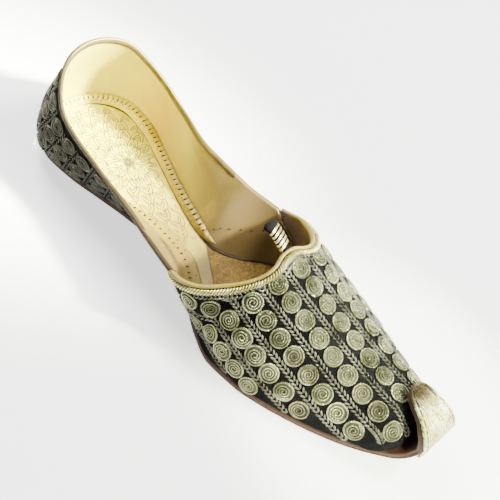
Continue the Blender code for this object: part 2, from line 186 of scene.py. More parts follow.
def track(table, column, at):
    """Smooth value of a table's column: cubics between the rows, whose slopes are the
    harmonic means of the chords on either side, so that nothing overshoots."""
    xs, ys = table[:, 0], table[:, column]
    chord = np.diff(ys) / np.diff(xs)
    before, after = chord[:-1], chord[1:]
    both = before * after > 0
    inner = np.where(both, 2 * before * after / np.where(both, before + after, 1.0), 0.0)
    slope = np.concatenate([chord[:1], inner, chord[-1:]])
    at = np.clip(np.asarray(at, float), xs[0], xs[-1])
    i = np.clip(np.searchsorted(xs, at, side="right") - 1, 0, len(chord) - 1)
    run = xs[i + 1] - xs[i]
    t = (at - xs[i]) / run
    return (ys[i] * (1 + 2 * t) * (1 - t) ** 2 + ys[i + 1] * t * t * (3 - 2 * t)
            + run * slope[i] * t * (1 - t) ** 2 - run * slope[i + 1] * t * t * (1 - t))


def rounded(at, start, radius):
    """Share of the full half width at a station of a round end: a superellipse."""
    t = np.clip((at - start) / radius, 0, 1)
    return np.sqrt(np.maximum(1 - (1 - t) ** HEEL_POWER, 0))


def pitch(at):
    """Slope of the board's underside, in radians."""
    return np.arctan(track(SPRING, 1, at + 0.5) - track(SPRING, 1, at - 0.5))


def bed(at, above=0.0):
    """Height of the face that lies this far above the board's underside: the spring's
    height plus the thickness square to it, then the circle of the curl."""
    at = np.asarray(at, float)
    start = CURL_AT + (CURL_R - above) * math.sin(math.radians(CURL_FROM))
    ring = CURL_Z - np.sqrt(np.maximum((CURL_R - above) ** 2 - (at - CURL_AT) ** 2, 0))
    return np.where(at > start, ring, track(SPRING, 1, at) + above / np.cos(pitch(at)))


def edge(at, side, inset):
    """Sideways place of the line that runs this far inside the board's edge: the edge
    moved square to its own slope, closing round the heel."""
    at = np.asarray(at, float)
    value = np.where(side < 0, track(OUTLINE, 1, at), track(OUTLINE, 2, at))
    slope = 0.5 * np.where(side < 0, track(OUTLINE, 1, at + 1) - track(OUTLINE, 1, at - 1),
                           track(OUTLINE, 2, at + 1) - track(OUTLINE, 2, at - 1))
    value = value - side * inset * np.hypot(1.0, slope)
    return BACK_X + (value - BACK_X) * rounded(at, inset, HEEL_RADIUS)


def points(x, at, z):
    """Points from their three measures, which may be of different shapes."""
    return np.stack(np.broadcast_arrays(x, at, z), axis=-1).astype(float)


def bezier(a, b, c, d, t):
    """Cubic through four points for every share t."""
    t = np.asarray(t, float)[..., None]
    s = 1 - t
    return s ** 3 * a + 3 * s * s * t * b + 3 * s * t * t * c + t ** 3 * d


def foot_line(at, side):
    """Foot of the upper, a margin inside the board's edge."""
    return points(edge(at, side, MARGIN), at, bed(at, FOOT_LIFT))


def top_line(at, side):
    """Collar, throat edge and shoulder."""
    share = rounded(at, COLLAR_BACK, COLLAR_RADIUS)
    value = np.where(side < 0, track(TOPLINE, 1, at), track(TOPLINE, 2, at))
    return points(BACK_X + (value - BACK_X) * share, at, track(TOPLINE, 3, at))


def nose_line(side, turn, level):
    """Round of the blunt toe: level 0 is its foot, 1 its shoulder. A quarter of a
    superellipse whose middle slides from the ridge to the toe's own middle."""
    reach = (NOSE_FOOT, NOSE_TOP)[level] - NOSE_FROM
    start = (foot_line, top_line)[level](np.full(np.shape(turn), NOSE_FROM), side)
    sine, cosine = np.sin(np.pi / 2 * turn), np.maximum(np.cos(np.pi / 2 * turn), 0)
    middle = track(RIDGE, 1, NOSE_FROM)
    x = middle + (NOSE_X - middle) * sine ** 1.2 + (start[..., 0] - middle) * cosine ** 0.86
    at = NOSE_FROM + reach * sine ** 0.86
    z = bed(at, FOOT_LIFT) if level == 0 else start[..., 2] - NOSE_DROP * sine ** 2
    return points(x, at, z)


def leaning(length, lean, out):
    """Vector of this length that leans outward from upright."""
    return points(length * np.sin(lean) * out[..., 0], length * np.sin(lean) * out[..., 1],
                  length * np.cos(lean))


def between(low, high, out, v):
    """Cubic wall from the foot to the top, leaving and arriving at the tabled leans."""
    pull = PULL * np.linalg.norm(high - low, axis=-1)
    f, h = (np.radians(track(TOPLINE, k, high[..., 1])) for k in (4, 5))
    return bezier(low, low + leaning(pull, f, out), high - leaning(pull, h, out), high, v)


def arch(low, high, out, v, fall=0.0):
    """Cubic over the vamp from its shoulder, left at the tabled lean, to a level top that
    may fall a little outward."""
    h = np.radians(track(TOPLINE, 5, low[..., 1] if fall == 0.0 else NOSE_FROM))
    pull = PULL * np.linalg.norm(high - low, axis=-1)
    c = high + points(pull * out[..., 0], pull * out[..., 1], -pull * fall * out[..., 1])
    return bezier(low, low + leaning(pull, h, out), c, high, v)


def wall(at, side, v):
    """Wall of the upper at stations from the end of the heel's round to the toe's."""
    at, v, side = np.broadcast_arrays(np.asarray(at, float), v, side)
    out = np.stack([side, np.zeros(side.shape)], -1)
    return between(foot_line(at, side), top_line(at, side), out, v)


def heel_wall(turn, side, v):
    """Wall round the heel: turn is 0 at the back seam and 1 at the straight sides."""
    turn, v, side = np.broadcast_arrays(np.asarray(turn, float), v, side)
    low = foot_line(MARGIN + (HEEL_END - MARGIN) * turn, side)
    high = top_line(COLLAR_BACK + (HEEL_END - COLLAR_BACK) * turn, side)
    angle = np.pi / 2 * np.minimum(turn * 1.6, 1.0) ** 0.55
    return between(low, high, np.stack([side * np.sin(angle), -np.cos(angle)], -1), v)


def round_out(side, turn):
    """Plan direction outward round the toe."""
    return np.stack([side * np.cos(np.pi / 2 * turn), np.sin(np.pi / 2 * turn)], -1)


def nose_wall(turn, side, v):
    """Wall round the blunt toe: turn is 0 at the straight sides and 1 at the front."""
    turn, v, side = np.broadcast_arrays(np.asarray(turn, float), v, side)
    out = round_out(side, turn)
    return between(nose_line(side, turn, 0), nose_line(side, turn, 1), out, v)


def crown(at, side, t):
    """Vamp between its shoulder (t 0) and its ridge (t 1)."""
    at, t, side = np.broadcast_arrays(np.asarray(at, float), t, side)
    low = top_line(at, side)
    high = points(track(RIDGE, 1, at), at, track(RIDGE, 2, at))
    return arch(low, high, np.stack([side, np.zeros(side.shape)], -1), t)


def nose_crown(turn, side, t):
    """Top of the blunt toe, from its shoulder (t 0) back to the end of the ridge (t 1)."""
    turn, t, side = np.broadcast_arrays(np.asarray(turn, float), t, side)
    low = nose_line(side, turn, 1)
    high = points(track(RIDGE, 1, NOSE_FROM), NOSE_FROM, track(RIDGE, 2, NOSE_FROM)) + 0 * low
    out = round_out(side, turn)
    return arch(low, high, out, t, NOSE_FALL)


def throat_shift(t):
    """How far the throat's edge lies forward of its station, from shoulder to peak."""
    dip = THROAT_DIP * np.maximum(np.sin(np.pi * t), 0) ** 1.1
    return dip - THROAT_PEAK * (np.maximum(t - 0.3, 0) / 0.7) ** 5.5


# The vamp's rear edge: its station at the foot and its run forward, then the S's middle
# and width as shares of the height.
OUTER_REAR, INNER_REAR, S_MIDDLE, S_WIDTH = (113.0, 17.5), (110.0, 25.5), 0.45, 0.1


def vamp_rear(v, side=-1.0):
    """Station of the vamp's rear edge at a share of the wall's height. It leans forward on
    the outer side, and on the inner side runs forward in an S under a longer wing."""
    v = np.asarray(v, float)
    return np.where(np.asarray(side) < 0, OUTER_REAR[0] + OUTER_REAR[1] * v ** 1.1,
                    INNER_REAR[0] + INNER_REAR[1] / (1 + np.exp(-(v - S_MIDDLE) / S_WIDTH)))


def throat_fade(at):
    """Share of the throat's curve that the rows in front of it still follow: it fades out
    over 32 mm."""
    return np.clip(1 - (np.asarray(at, float) - THROAT_AT) / 32.0, 0, 1) ** 1.5


def fine(start, end, step):
    """Evenly spaced stations from start to end, about this far apart."""
    return np.linspace(start, end, max(int(round(abs(end - start) / step)), 1) + 1)


def grid_faces(rows, columns, wrap_rows, wrap_columns):
    """Quads of a grid of points, which may close on itself either way, with the row and
    column of each of their corners before they wrap."""
    r = np.arange(rows if wrap_rows else rows - 1)[:, None]
    c = np.arange(columns if wrap_columns else columns - 1)[None, :]
    corner = [np.broadcast_arrays(r + i, c + j) for i, j in ((0, 0), (0, 1), (1, 1), (1, 0))]
    faces = [(a % rows) * columns + b % columns for a, b in corner]
    return (np.stack(faces, -1).reshape(-1, 4),
            np.stack([np.stack(pair, -1) for pair in corner], -2).reshape(-1, 4, 2))


def patch(grid, uv=None, wrap_rows=False, wrap_columns=False, flip=False):
    """Points, quads and corner coordinates of one grid. UV gives the size of one step of
    a row and of a column."""
    rows, columns = grid.shape[:2]
    faces, corners = grid_faces(rows, columns, wrap_rows, wrap_columns)
    corners = corners * np.array(uv if uv is not None else (1 / rows, 1 / columns), float)
    if flip:
        faces, corners = faces[:, ::-1], corners[:, ::-1]
    return grid.reshape(-1, 3), faces, corners


def repeated(grids, uv=None, wrap_rows=False, wrap_columns=False, flip=False):
    """One patch of many equal grids: an array of grids, rows, columns, 3."""
    count, rows, columns = grids.shape[:3]
    _, faces, corners = patch(grids[0], uv, wrap_rows, wrap_columns, flip)
    starts = (np.arange(count) * rows * columns)[:, None, None]
    return (grids.reshape(-1, 3), (faces[None] + starts).reshape(-1, 4),
            np.broadcast_to(corners, (count,) + corners.shape).reshape(-1, 4, 2))


def tubes(grids, step, wrap_rows=False, flip=False):
    """One patch of many equal tubes, whose UV goes a step with each row and once round."""
    return repeated(grids, (step, 1 / grids.shape[2]), wrap_rows, True, flip)


# Points closer than the step are one; the shift keeps whole millimetres off its limits.
WELD_STEP, WELD_SHIFT = 0.004, 0.137


def make_piece(name, patches, finish, marks=None):
    """Object from patches in shoe millimetres. The frame runs the other way along the shoe,
    so the quads turn over. Equal points are welded, quads that lose a corner become
    triangles, and every mark is an attribute of the points."""
    starts = np.cumsum([0] + [len(p[0]) for p in patches[:-1]])
    where = np.concatenate([p[0] for p in patches])
    faces = np.concatenate([p[1] + s for p, s in zip(patches, starts)])
    corners = np.concatenate([p[2] for p in patches])[:, ::-1]
    faces = faces[:, ::-1]
    _, keep, back = np.unique(np.round(where / WELD_STEP + WELD_SHIFT).astype(np.int64), axis=0,
                              return_index=True, return_inverse=True)
    faces = back.reshape(-1)[faces]
    same = faces == np.roll(faces, -1, axis=1)
    quads, lost = ~same.any(1), same.sum(1) == 1
    loops = [f.tolist() for f in faces[quads]]
    uvs = [corners[quads].reshape(-1, 2)]
    if lost.any():
        kept = ~same[lost]
        loops += faces[lost][kept].reshape(-1, 3).tolist()
        uvs.append(corners[lost][kept].reshape(-1, 2))
    spot = where[keep]
    placed = np.stack([spot[:, 0] + SHIFT_X, SHIFT_AT - spot[:, 1], spot[:, 2]], -1) * MM
    mesh = bpy.data.meshes.new(name)
    mesh.from_pydata(placed.tolist(), [], loops)
    layer = mesh.uv_layers.new(name="along")
    layer.data.foreach_set("uv", np.concatenate(uvs).astype(np.float32).ravel())
    for label, values in (marks or {}).items():
        mark = mesh.attributes.new(label, "FLOAT", "POINT")
        mark.data.foreach_set("value", np.asarray(values, np.float32)[keep])
    mesh.shade_smooth()
    mesh.materials.append(finish)
    made = bpy.data.objects.new(name, mesh)
    bpy.context.scene.collection.objects.link(made)
    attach(made, "root")
    return made


def thicken(made, thickness):
    """Give an open sheet its thickness in millimetres, inward."""
    solid = made.modifiers.new("thickness", "SOLIDIFY")
    solid.thickness, solid.offset = thickness * MM, -1.0
    solid.use_even_offset = False
    return made


# ---- upper: charts for what is sewn on it --------------------------------------------
# The embroidery follows the vamp's ridge and the foot line, so its places are measured on
# the surface: along the ridge from the tab, and across from it round the vamp.
ACROSS_MOST, CHART_STEP = 84.0, 0.5
RIDGE_FROM = 160.0
WING_SPREAD = 0.45     # how fast the rows behind the throat lie further from the ridge


def arc_length(path):
    """Distance along each path of points, from its start."""
    steps = np.linalg.norm(np.diff(path, axis=-2), axis=-1)
    return np.concatenate([np.zeros(steps.shape[:-1] + (1,)), np.cumsum(steps, -1)], -1)


def paired(a, b):
    """Two measures as arrays of one shape."""
    return np.broadcast_arrays(np.asarray(a, float), np.asarray(b, float))


def past(value, start, run):
    """Share, from 0 to 1, that a value has passed of a run from its start."""
    return np.clip((value - start) / run, 0, 1)


def gently(t):
    """Share that starts and ends gently."""
    return t * t * (3 - 2 * t)


def unit(vectors):
    """Vectors of length 1."""
    return vectors / np.maximum(np.linalg.norm(vectors, axis=-1, keepdims=True), 1e-9)


def resample(paths, starts, reach):
    """Points at even distances along each path: every measure of it interpolated by its
    arc length. Beyond its end the path goes straight on."""
    out = []
    for path, start in zip(paths, starts):
        s = arc_length(path) + start
        spot = np.stack([np.interp(reach, s, path[:, k]) for k in range(3)], -1)
        beyond = np.maximum(reach - s[-1], 0)[:, None] * (path[-1] - path[-4]) / (s[-1] - s[-4])
        out.append(spot + beyond)
    return np.array(out)


reach = np.arange(0, ACROSS_MOST, CHART_STEP)
ridge_at = np.linspace(118.0, NOSE_FROM, 269)
ridge_line = points(track(RIDGE, 1, ridge_at), ridge_at, track(RIDGE, 2, ridge_at))
ridge_arc = arc_length(ridge_line)
ridge_arc -= np.interp(RIDGE_FROM, ridge_at, ridge_arc)
ridge_arc[ridge_at < 158] = (ridge_at[ridge_at < 158] - RIDGE_FROM) * 1.08
nose_turn = np.linspace(0, 1, 31)
down = np.linspace(1, 0, 90)
chart, nose_chart, row_reach, nose_reach = {}, {}, {}, {}
for side in (-1.0, 1.0):
    behind = ridge_at < THROAT_AT
    walls = wall(ridge_at[:, None], side, down[None, :])
    crowns = crown(ridge_at[:, None], side, down[None, :])
    whole = [w if b else np.concatenate([c[:-1], w]) for b, w, c in zip(behind, walls, crowns)]
    at_throat = arc_length(crown(np.full(90, THROAT_AT), side, down))[-1]
    starts = np.where(behind, at_throat + WING_SPREAD * (THROAT_AT - ridge_at), 0.0)
    chart[side] = resample(whole, starts, reach)
    row_reach[side] = starts + np.array([arc_length(path)[-1] for path in whole])
    tips = np.concatenate([nose_crown(nose_turn[:, None], side, down[None, :])[:, :-1],
                           nose_wall(nose_turn[:, None], side, down[None, :])], 1)
    nose_chart[side] = resample(tips, np.zeros(len(tips)), reach)
    nose_reach[side] = arc_length(tips)[:, -1]


def look_up(table, row, column):
    """Value of a chart between its rows and columns, weighing the four around it."""
    row = np.clip(row, 0, table.shape[0] - 1.001)
    column = np.clip(column, 0, table.shape[1] - 1.001)
    i, j = row.astype(int), column.astype(int)
    a, b = (row - i)[..., None], (column - j)[..., None]
    return ((table[i, j] * (1 - b) + table[i, j + 1] * b) * (1 - a)
            + (table[i + 1, j] * (1 - b) + table[i + 1, j + 1] * b) * a)


def vamp_place(along, across):
    """Row of the vamp's chart for a place, how far it lies past the ridge's end, and its
    row of the blunt toe's chart."""
    row = np.interp(along, ridge_arc, np.arange(len(ridge_arc)))
    beyond = np.maximum(along - ridge_arc[-1], 0)
    return row, beyond, np.arctan2(beyond, np.abs(across)) / (np.pi / 2) * (len(nose_turn) - 1)


def on_vamp(along, across):
    """Point of the vamp at a distance along the ridge from the tab and across from it,
    outer side negative. Past the ridge's end the same grid turns round the blunt toe."""
    along, across = paired(along, across)
    row, beyond, turn = vamp_place(along, across)
    distance = np.hypot(beyond, across)
    found = np.zeros(along.shape + (3,))
    for side in (-1.0, 1.0):
        body = look_up(chart[side], row, np.abs(across) / CHART_STEP)
        tip = look_up(nose_chart[side], turn, distance / CHART_STEP)
        mine = (across < 0) == (side < 0)
        found = np.where(mine[..., None], np.where((beyond > 0)[..., None], tip, body), found)
    return found


def room_to_foot(along, across):
    """Distance left between a place on the vamp and the foot line, along its row."""
    along, across = paired(along, across)
    row, beyond, turn = vamp_place(along, across)
    left = np.zeros(along.shape)
    for side in (-1.0, 1.0):
        body = np.interp(row, np.arange(len(row_reach[side])), row_reach[side])
        tip = np.interp(turn, np.arange(len(nose_reach[side])), nose_reach[side])
        room = np.where(beyond > 0, tip - np.hypot(beyond, across), body - np.abs(across))
        left = np.where((across < 0) == (side < 0), room, left)
    return left


def normal_of(chart_point, a, b):
    """Outward normal of a charted surface: the cross product of its two short chords."""
    step = 0.35
    u = chart_point(a + step, b) - chart_point(a - step, b)
    w = chart_point(a, b + step) - chart_point(a, b - step)
    return unit(np.cross(w, u))


# The quarters have a chart of their own: up the wall from the foot, and round the heel from
# the back seam, inner side positive.
QUARTER_FRONT = 152.0
quarter_at = np.concatenate([fine(QUARTER_FRONT, HEEL_END, 1.6), np.full(60, HEEL_END)])
quarter_turn = np.concatenate([np.ones(len(quarter_at) - 60), np.linspace(1, 0, 61)[1:] ** 2])
upward = np.linspace(0, 1, 60)
straight = quarter_turn == 1.0


def quarter_column(side, v):
    """Columns of the wall on one side, from the front of the quarter to the back seam."""
    v = np.asarray(v, float)[None, :]
    return np.concatenate([wall(quarter_at[straight][:, None], side, v),
                           heel_wall(quarter_turn[~straight][:, None], side, v)])


quarter_chart, quarter_around, quarter_height = {}, {}, {}
for side in (-1.0, 1.0):
    columns = quarter_column(side, upward)
    quarter_chart[side] = resample(columns, np.zeros(len(columns)), reach)
    along_wall = arc_length(columns[:, 24])
    quarter_around[side] = (along_wall[-1] - along_wall)[::-1]
    quarter_height[side] = arc_length(columns)[:, -1][::-1]
    quarter_chart[side] = quarter_chart[side][::-1]


def on_quarter(height, around):
    """Point of the quarters at a height above the foot along the wall and a distance
    round the heel from the back seam."""
    height, around = paired(height, around)
    found = np.zeros(height.shape + (3,))
    for side in (-1.0, 1.0):
        row = np.interp(np.abs(around), quarter_around[side], np.arange(len(quarter_around[side])))
        here = look_up(quarter_chart[side], row, np.abs(height) / CHART_STEP)
        found = np.where(((around < 0) == (side < 0))[..., None], here, found)
    return found


def wall_height(around):
    """Height of the quarter's wall from foot to collar, along the wall."""
    around = np.asarray(around, float)
    return np.where(around < 0, np.interp(-around, quarter_around[-1.0], quarter_height[-1.0]),
                    np.interp(around, quarter_around[1.0], quarter_height[1.0]))


# ---- velvet vamp and quarters --------------------------------------------------------
# Black cotton velvet over a thin backing: one quarter runs round the heel, and the vamp laps
# over its ends. Both are turned under at the foot and bound at the collar and throat.
VELVET_DROP, VELVET_THICK = 0.35, 0.7
LAP_LIFT, LAP_SINK, LAP_RUN = 0.6, 0.9, 16.0
SHOULDER_AT = 130.5      # where the shoulder starts on the outer side
shares = fine(0, 1, 1 / 30)
front_turn = np.linspace(0, 1, 26)
shoulder_at = np.concatenate([fine(SHOULDER_AT, THROAT_AT, 1.6),
                              fine(THROAT_AT, NOSE_FROM, 1.6)[1:]])


def vamp_patches():
    """Grids of the whole vamp: its two walls, the blunt toe's wall, the top between the
    shoulders and the top of the blunt toe. They share the points where they meet."""
    v = shares[None, :]
    t = np.linspace(0, 1, 25)[None, :]
    behind = shoulder_at[shoulder_at >= THROAT_AT - 1e-6][:, None]
    grids = []
    for side in (-1.0, 1.0):
        fade = past(shoulder_at, THROAT_AT, SHOULDER_AT - THROAT_AT)[:, None]
        at = shoulder_at[:, None] + (vamp_rear(v, side) - SHOULDER_AT) * fade
        grids += [wall(at, side, v), nose_wall(front_turn[:, None], side, v),
                  crown(behind + throat_shift(t) * throat_fade(behind), side, t),
                  nose_crown(front_turn[:, None], side, t)]
    return [patch(g, flip=n > 3) for n, g in enumerate(grids)]


# The quarters' top edge dips under the vamp's wings: station, share of the wall's height.
WING_DIP = np.array(((129.0, 1.0), (134.0, 0.985), (136.5, 0.91), (140.0, 0.79), (143.8, 0.66),
                     (147.0, 0.54), (152.0, 0.37)))


def quarter_top(at):
    """Share of the wall's height that the quarters reach at a station."""
    return np.interp(at, WING_DIP[:, 0], WING_DIP[:, 1])


def quarter_patches(start):
    """One grid from the outer side round the heel to the inner side."""
    v = shares[None, :]
    at = fine(start, HEEL_END, 1.6)[:, None]
    turns = (np.linspace(1, 0, 44) ** 2)[1:, None]
    around = [wall(at, -1.0, v * quarter_top(at)), heel_wall(turns, -1.0, v),
              heel_wall(turns[::-1][1:], 1.0, v), wall(at[::-1], 1.0, v * quarter_top(at[::-1]))]
    return [patch(np.concatenate(around), flip=True)]


def place_of(made):
    """Sideways place, station and height in millimetres of every point of a piece."""
    place = np.zeros(len(made.data.vertices) * 3, np.float32)
    made.data.vertices.foreach_get("co", place)
    place = place.reshape(-1, 3) / MM
    return place[:, 0] - SHIFT_X, SHIFT_AT - place[:, 1], place[:, 2]


def move_along_normals(made, distance):
    """Move every point along the mesh's own normal by a distance in millimetres."""
    mesh = made.data
    count = len(mesh.vertices)
    place, normal = np.zeros(count * 3), np.zeros(count * 3, np.float32)
    mesh.vertices.foreach_get("co", place)
    mesh.vertex_normals.foreach_get("vector", normal)
    place = place.reshape(-1, 3) + normal.reshape(-1, 3) * (np.reshape(distance, (-1, 1)) * MM)
    mesh.vertices.foreach_set("co", place.astype(np.float32).ravel())
    mesh.update()


def node(tree, kind, settings=None, **given):
    """Shader node with its settings, and its inputs by name (or i and a number) given as a
    value or as the socket that feeds them."""
    made = tree.nodes.new("ShaderNode" + kind)
    for name, value in (settings or {}).items():
        setattr(made, name, value)
    for name, value in given.items():
        socket = made.inputs[int(name[1:]) if name[1:].isdigit() else name.replace("_", " ")]
        if isinstance(value, bpy.types.NodeSocket):
            tree.links.new(value, socket)
        else:
            socket.default_value = value
    return made


def maths(tree, operation, a, b=0.0, c=0.0):
    """Result of one sum on values or sockets."""
    return node(tree, "Math", {"operation": operation}, i0=a, i1=b, i2=c).outputs[0]


def ramp(tree, value, stops):
    """Colour that passes through the stops: place and colour."""
    made = node(tree, "ValToRGB", Fac=value)
    marks = made.color_ramp.elements
    while len(marks) < len(stops):
        marks.new(0.5)
    for mark, (place, colour) in zip(marks, stops):
        mark.position, mark.color = place, (*colour, 1)
    return made.outputs["Color"]


def blend(tree, share, one, two, kind="MIX"):
    """Two colours mixed by a share."""
    one, two = (c if isinstance(c, bpy.types.NodeSocket) else (*c, 1) for c in (one, two))
    return node(tree, "MixRGB", {"blend_type": kind}, Fac=share, Color1=one, Color2=two).outputs[0]


def place_in(tree):
    """Place of a point in its piece's own measures."""
    return node(tree, "TexCoord").outputs["Object"]


def new_group(name, inputs, outputs):
    """Empty shader group with number inputs and their usual values, and its two ends."""
    group = bpy.data.node_groups.new(name, "ShaderNodeTree")
    for label, value in inputs:
        socket = group.interface.new_socket(label, in_out="INPUT", socket_type="NodeSocketFloat")
        socket.default_value = value
    for label in outputs:
        group.interface.new_socket(label, in_out="OUTPUT", socket_type="NodeSocketFloat")
    ends = (group.nodes.new("NodeGroup" + end) for end in ("Input", "Output"))
    return group, next(ends).outputs, next(ends).inputs


def use_group(tree, group, **values):
    """A group placed in a finish."""
    made = tree.nodes.new("ShaderNodeGroup")
    made.node_tree = group
    for name, value in values.items():
        made.inputs[name.replace("_", " ")].default_value = value
    return made.outputs


# Grain: fine pebbles, broad cloudy tone and a few creases, in scales per metre.
grain, given, told = new_group("grain", (("Pebble scale", 900.0), ("Cloud scale", 40.0),
                                         ("Crease scale", 160.0)), ("Pebbles", "Clouds", "Creases"))
spot = place_in(grain)
pebble = node(grain, "TexVoronoi", {"feature": "DISTANCE_TO_EDGE"}, Vector=spot,
              Scale=given["Pebble scale"])
cloud = node(grain, "TexNoise", Vector=spot, Scale=given["Cloud scale"], Detail=4.0, Roughness=0.6)
wander = node(grain, "TexNoise", Vector=spot, Scale=given["Crease scale"], Detail=5.0,
              Distortion=1.2)
crease = maths(grain, "ABSOLUTE", maths(grain, "SUBTRACT", wander.outputs["Fac"], 0.5))
for label, value, steep in (("Pebbles", pebble.outputs["Distance"], 5.0), ("Creases", crease, 14.0)):
    value = maths(grain, "MINIMUM", maths(grain, "MULTIPLY", value, steep), 1.0)
    grain.links.new(value, told[label])
grain.links.new(cloud.outputs["Fac"], told["Clouds"])


def begin_finish(name, roughness, metallic=0.0, **fixed):
    """New finish, its node tree and shader, with the values that are even all over."""
    made = bpy.data.materials.new(name)
    made.use_nodes = True
    shader = made.node_tree.nodes["Principled BSDF"]
    for label, value in {"Roughness": roughness, "Metallic": metallic, **fixed}.items():
        shader.inputs[label.replace("_", " ")].default_value = value
    return made, made.node_tree, shader


def dress(tree, shader, colour, roughness, height, depth):
    """Join a finish's colour, roughness (None where it is even) and relief (depth in
    millimetres) to its shader."""
    tree.links.new(colour, shader.inputs["Base Color"])
    if roughness is not None:
        tree.links.new(roughness, shader.inputs["Roughness"])
    bump = node(tree, "Bump", Height=height, Strength=1.0, Distance=depth * MM)
    tree.links.new(bump.outputs["Normal"], shader.inputs["Normal"])


def shaded(tree, shader, colour):
    """Multiply the colour that a finish has by another."""
    base = shader.inputs["Base Color"]
    tree.links.new(blend(tree, 1.0, base.links[0].from_socket, colour, "MULTIPLY"), base)


def lacking(tree, mask, share):
    """A share of what a mask leaves out."""
    return maths(tree, "MULTIPLY", maths(tree, "SUBTRACT", 1.0, mask), share)


def mark_in(tree, name):
    """Value of a piece's own mark at a point."""
    return node(tree, "Attribute", {"attribute_name": name}).outputs["Fac"]


velvet, tree, shader = begin_finish("black_velvet", 0.92, Sheen_Weight=0.03, Sheen_Roughness=0.4,
                                    Sheen_Tint=(0.85, 0.9, 1.0, 1), Specular_IOR_Level=0.0)
nap = use_group(tree, grain, Pebble_scale=2600.0, Cloud_scale=120.0, Crease_scale=420.0)
pile = ramp(tree, nap["Clouds"], ((0.35, (0.0024, 0.0026, 0.0024)),
                                  (0.62, (0.0065, 0.0070, 0.0062))))
pile = blend(tree, maths(tree, "MULTIPLY", nap["Creases"], 0.5), pile, (0.0075, 0.0078, 0.0075))
dress(tree, shader, pile, None, maths(tree, "ADD", nap["Pebbles"], nap["Creases"]), 0.18)
vamp = make_piece("vamp_velvet", vamp_patches(), velvet)
aside, at, height = place_of(vamp)
rear = vamp_rear(past(height, 4, 32), np.sign(aside + 2.0))
move_along_normals(vamp, LAP_LIFT * (1 - past(at, rear, LAP_RUN)) ** 1.5 - VELVET_DROP)
thicken(vamp, VELVET_THICK)
quarters = make_piece("quarters_velvet", quarter_patches(140.0), velvet)
_, at, height = place_of(quarters)
move_along_normals(quarters, -VELVET_DROP - LAP_SINK * past(at, vamp_rear(0.5), 10))
thicken(quarters, VELVET_THICK)
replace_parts(vamp, "upper")


# ---- lining --------------------------------------------------------------------------
# Thin cream leather glazed with a little gold. It lines the quarters in one piece that runs
# forward under the throat, and the vamp's own lining carries on behind it.
LINING_DROP, LINING_THICK = 1.1, 0.7
LINING_STEP, STEP_AT, STEP_RUN = 0.85, 103, 9


def leather(name, dark, light, roughness, pebbles, clouds, depth, metallic=0.0, **fixed):
    """Leather whose tone drifts from dark to light in clouds, with pebbled grain, faint
    creases and duller hollows."""
    made, tree, shader = begin_finish(name, roughness, metallic, **fixed)
    seen = use_group(tree, grain, Pebble_scale=pebbles, Cloud_scale=clouds)
    tone = ramp(tree, seen["Clouds"], ((0.32, dark), (0.66, light)))
    pits = lacking(tree, seen["Pebbles"], 0.35)
    colour = blend(tree, pits, tone, tuple(c * 0.6 for c in dark))
    gloss = maths(tree, "MULTIPLY_ADD", seen["Clouds"], 0.2, roughness - 0.1)
    relief = maths(tree, "MULTIPLY_ADD", seen["Creases"], 0.6, seen["Pebbles"])
    dress(tree, shader, colour, gloss, relief, depth)
    return made


lining_finish = leather("lining_leather", (0.58, 0.505, 0.03), (0.74, 0.67, 0.05), 0.42, 1500.0,
                        26.0, 0.03, Coat_Weight=0.3, Coat_Roughness=0.3)


def painted_shade_ramp(finish, stops, axis=1, scale=-1 / 0.15, shift=0.9164):
    """Painted shade on leather: its colour times a ramp that runs from 0 at the back of the
    heel to 1 at 150 mm, or along another axis."""
    tree = finish.node_tree
    shader = tree.nodes["Principled BSDF"]
    place = node(tree, "SeparateXYZ", Vector=place_in(tree)).outputs[axis]
    share = maths(tree, "MULTIPLY_ADD", place, scale, shift)
    shaded(tree, shader, ramp(tree, share, stops))


# Painted shade: the lining darkens towards the throat, where the vamp shades it, and stays light at the
# heel.
painted_shade_ramp(lining_finish, ((0.1, (1, 1, 1)), (0.3, (0.58, 0.45, 0.6)), (0.5, (0.34, 0.28, 0.5)),
                               (0.8, (0.25, 0.19, 0.9))))


def lining_step(at):
    """How much further in the lining runs where the vamp laps over the quarters."""
    return LINING_STEP * past(at, STEP_AT, STEP_RUN)


lining = make_piece("lining", quarter_patches(QUARTER_FRONT), lining_finish)
move_along_normals(lining, -LINING_DROP - lining_step(place_of(lining)[1]))
thicken(lining, LINING_THICK)
# The vamp's lining is coloured dark brown as painted shade, for the shade it lies in inside the vamp.
lining_in_painted_shade = leather("vamp_lining_leather", (0.17, 0.12, 0.085), (0.27, 0.20, 0.14), 0.6, 1300.0,
                      50.0, 0.05)
vamp_lining = make_piece("vamp_lining", vamp_patches(), lining_in_painted_shade)
move_along_normals(vamp_lining, -LINING_DROP)
thicken(vamp_lining, LINING_THICK - 0.1)


# ---- coil discs on the vamp ----------------------------------------------------------
# Each disc is a twisted metal wire wound flat into three turns over a dull pad, inside a
# thicker rim that is couched down. Nine rows run with the ridge, their discs nearly touching.
DISC_RADIUS, DISC_TURNS, DISC_RISE, RIM_WIDE = 5.5, 2.75, 0.6, 0.68
ROW_STEP, ROW_NARROWING, DISC_STEP, DISC_START, ROW_LAG = 15.95, 0.18, 11.25, 14.9, 0.63
RIM_STITCHES, NEAR_TOE = 26, 95
# Rows of discs: row (outer side positive), first disc, last disc.
DISC_ROWS = ((4, -8, 2), (3, -7, 3), (2, -5, 3), (1, -5, 3), (0, -5, 2), (-1, -5, 3), (-2, -5, 3),
             (-3, -7, 3), (-4, -8, 2))


def row_across(row):
    """Distance of a row from the ridge: steps that narrow a little towards the sole."""
    row = np.asarray(row, float)
    return -(ROW_STEP * row - ROW_NARROWING * row * np.abs(row))


def circle(sides):
    """Angles of evenly spaced points round a circle."""
    return np.linspace(0, 2 * np.pi, sides, endpoint=False)


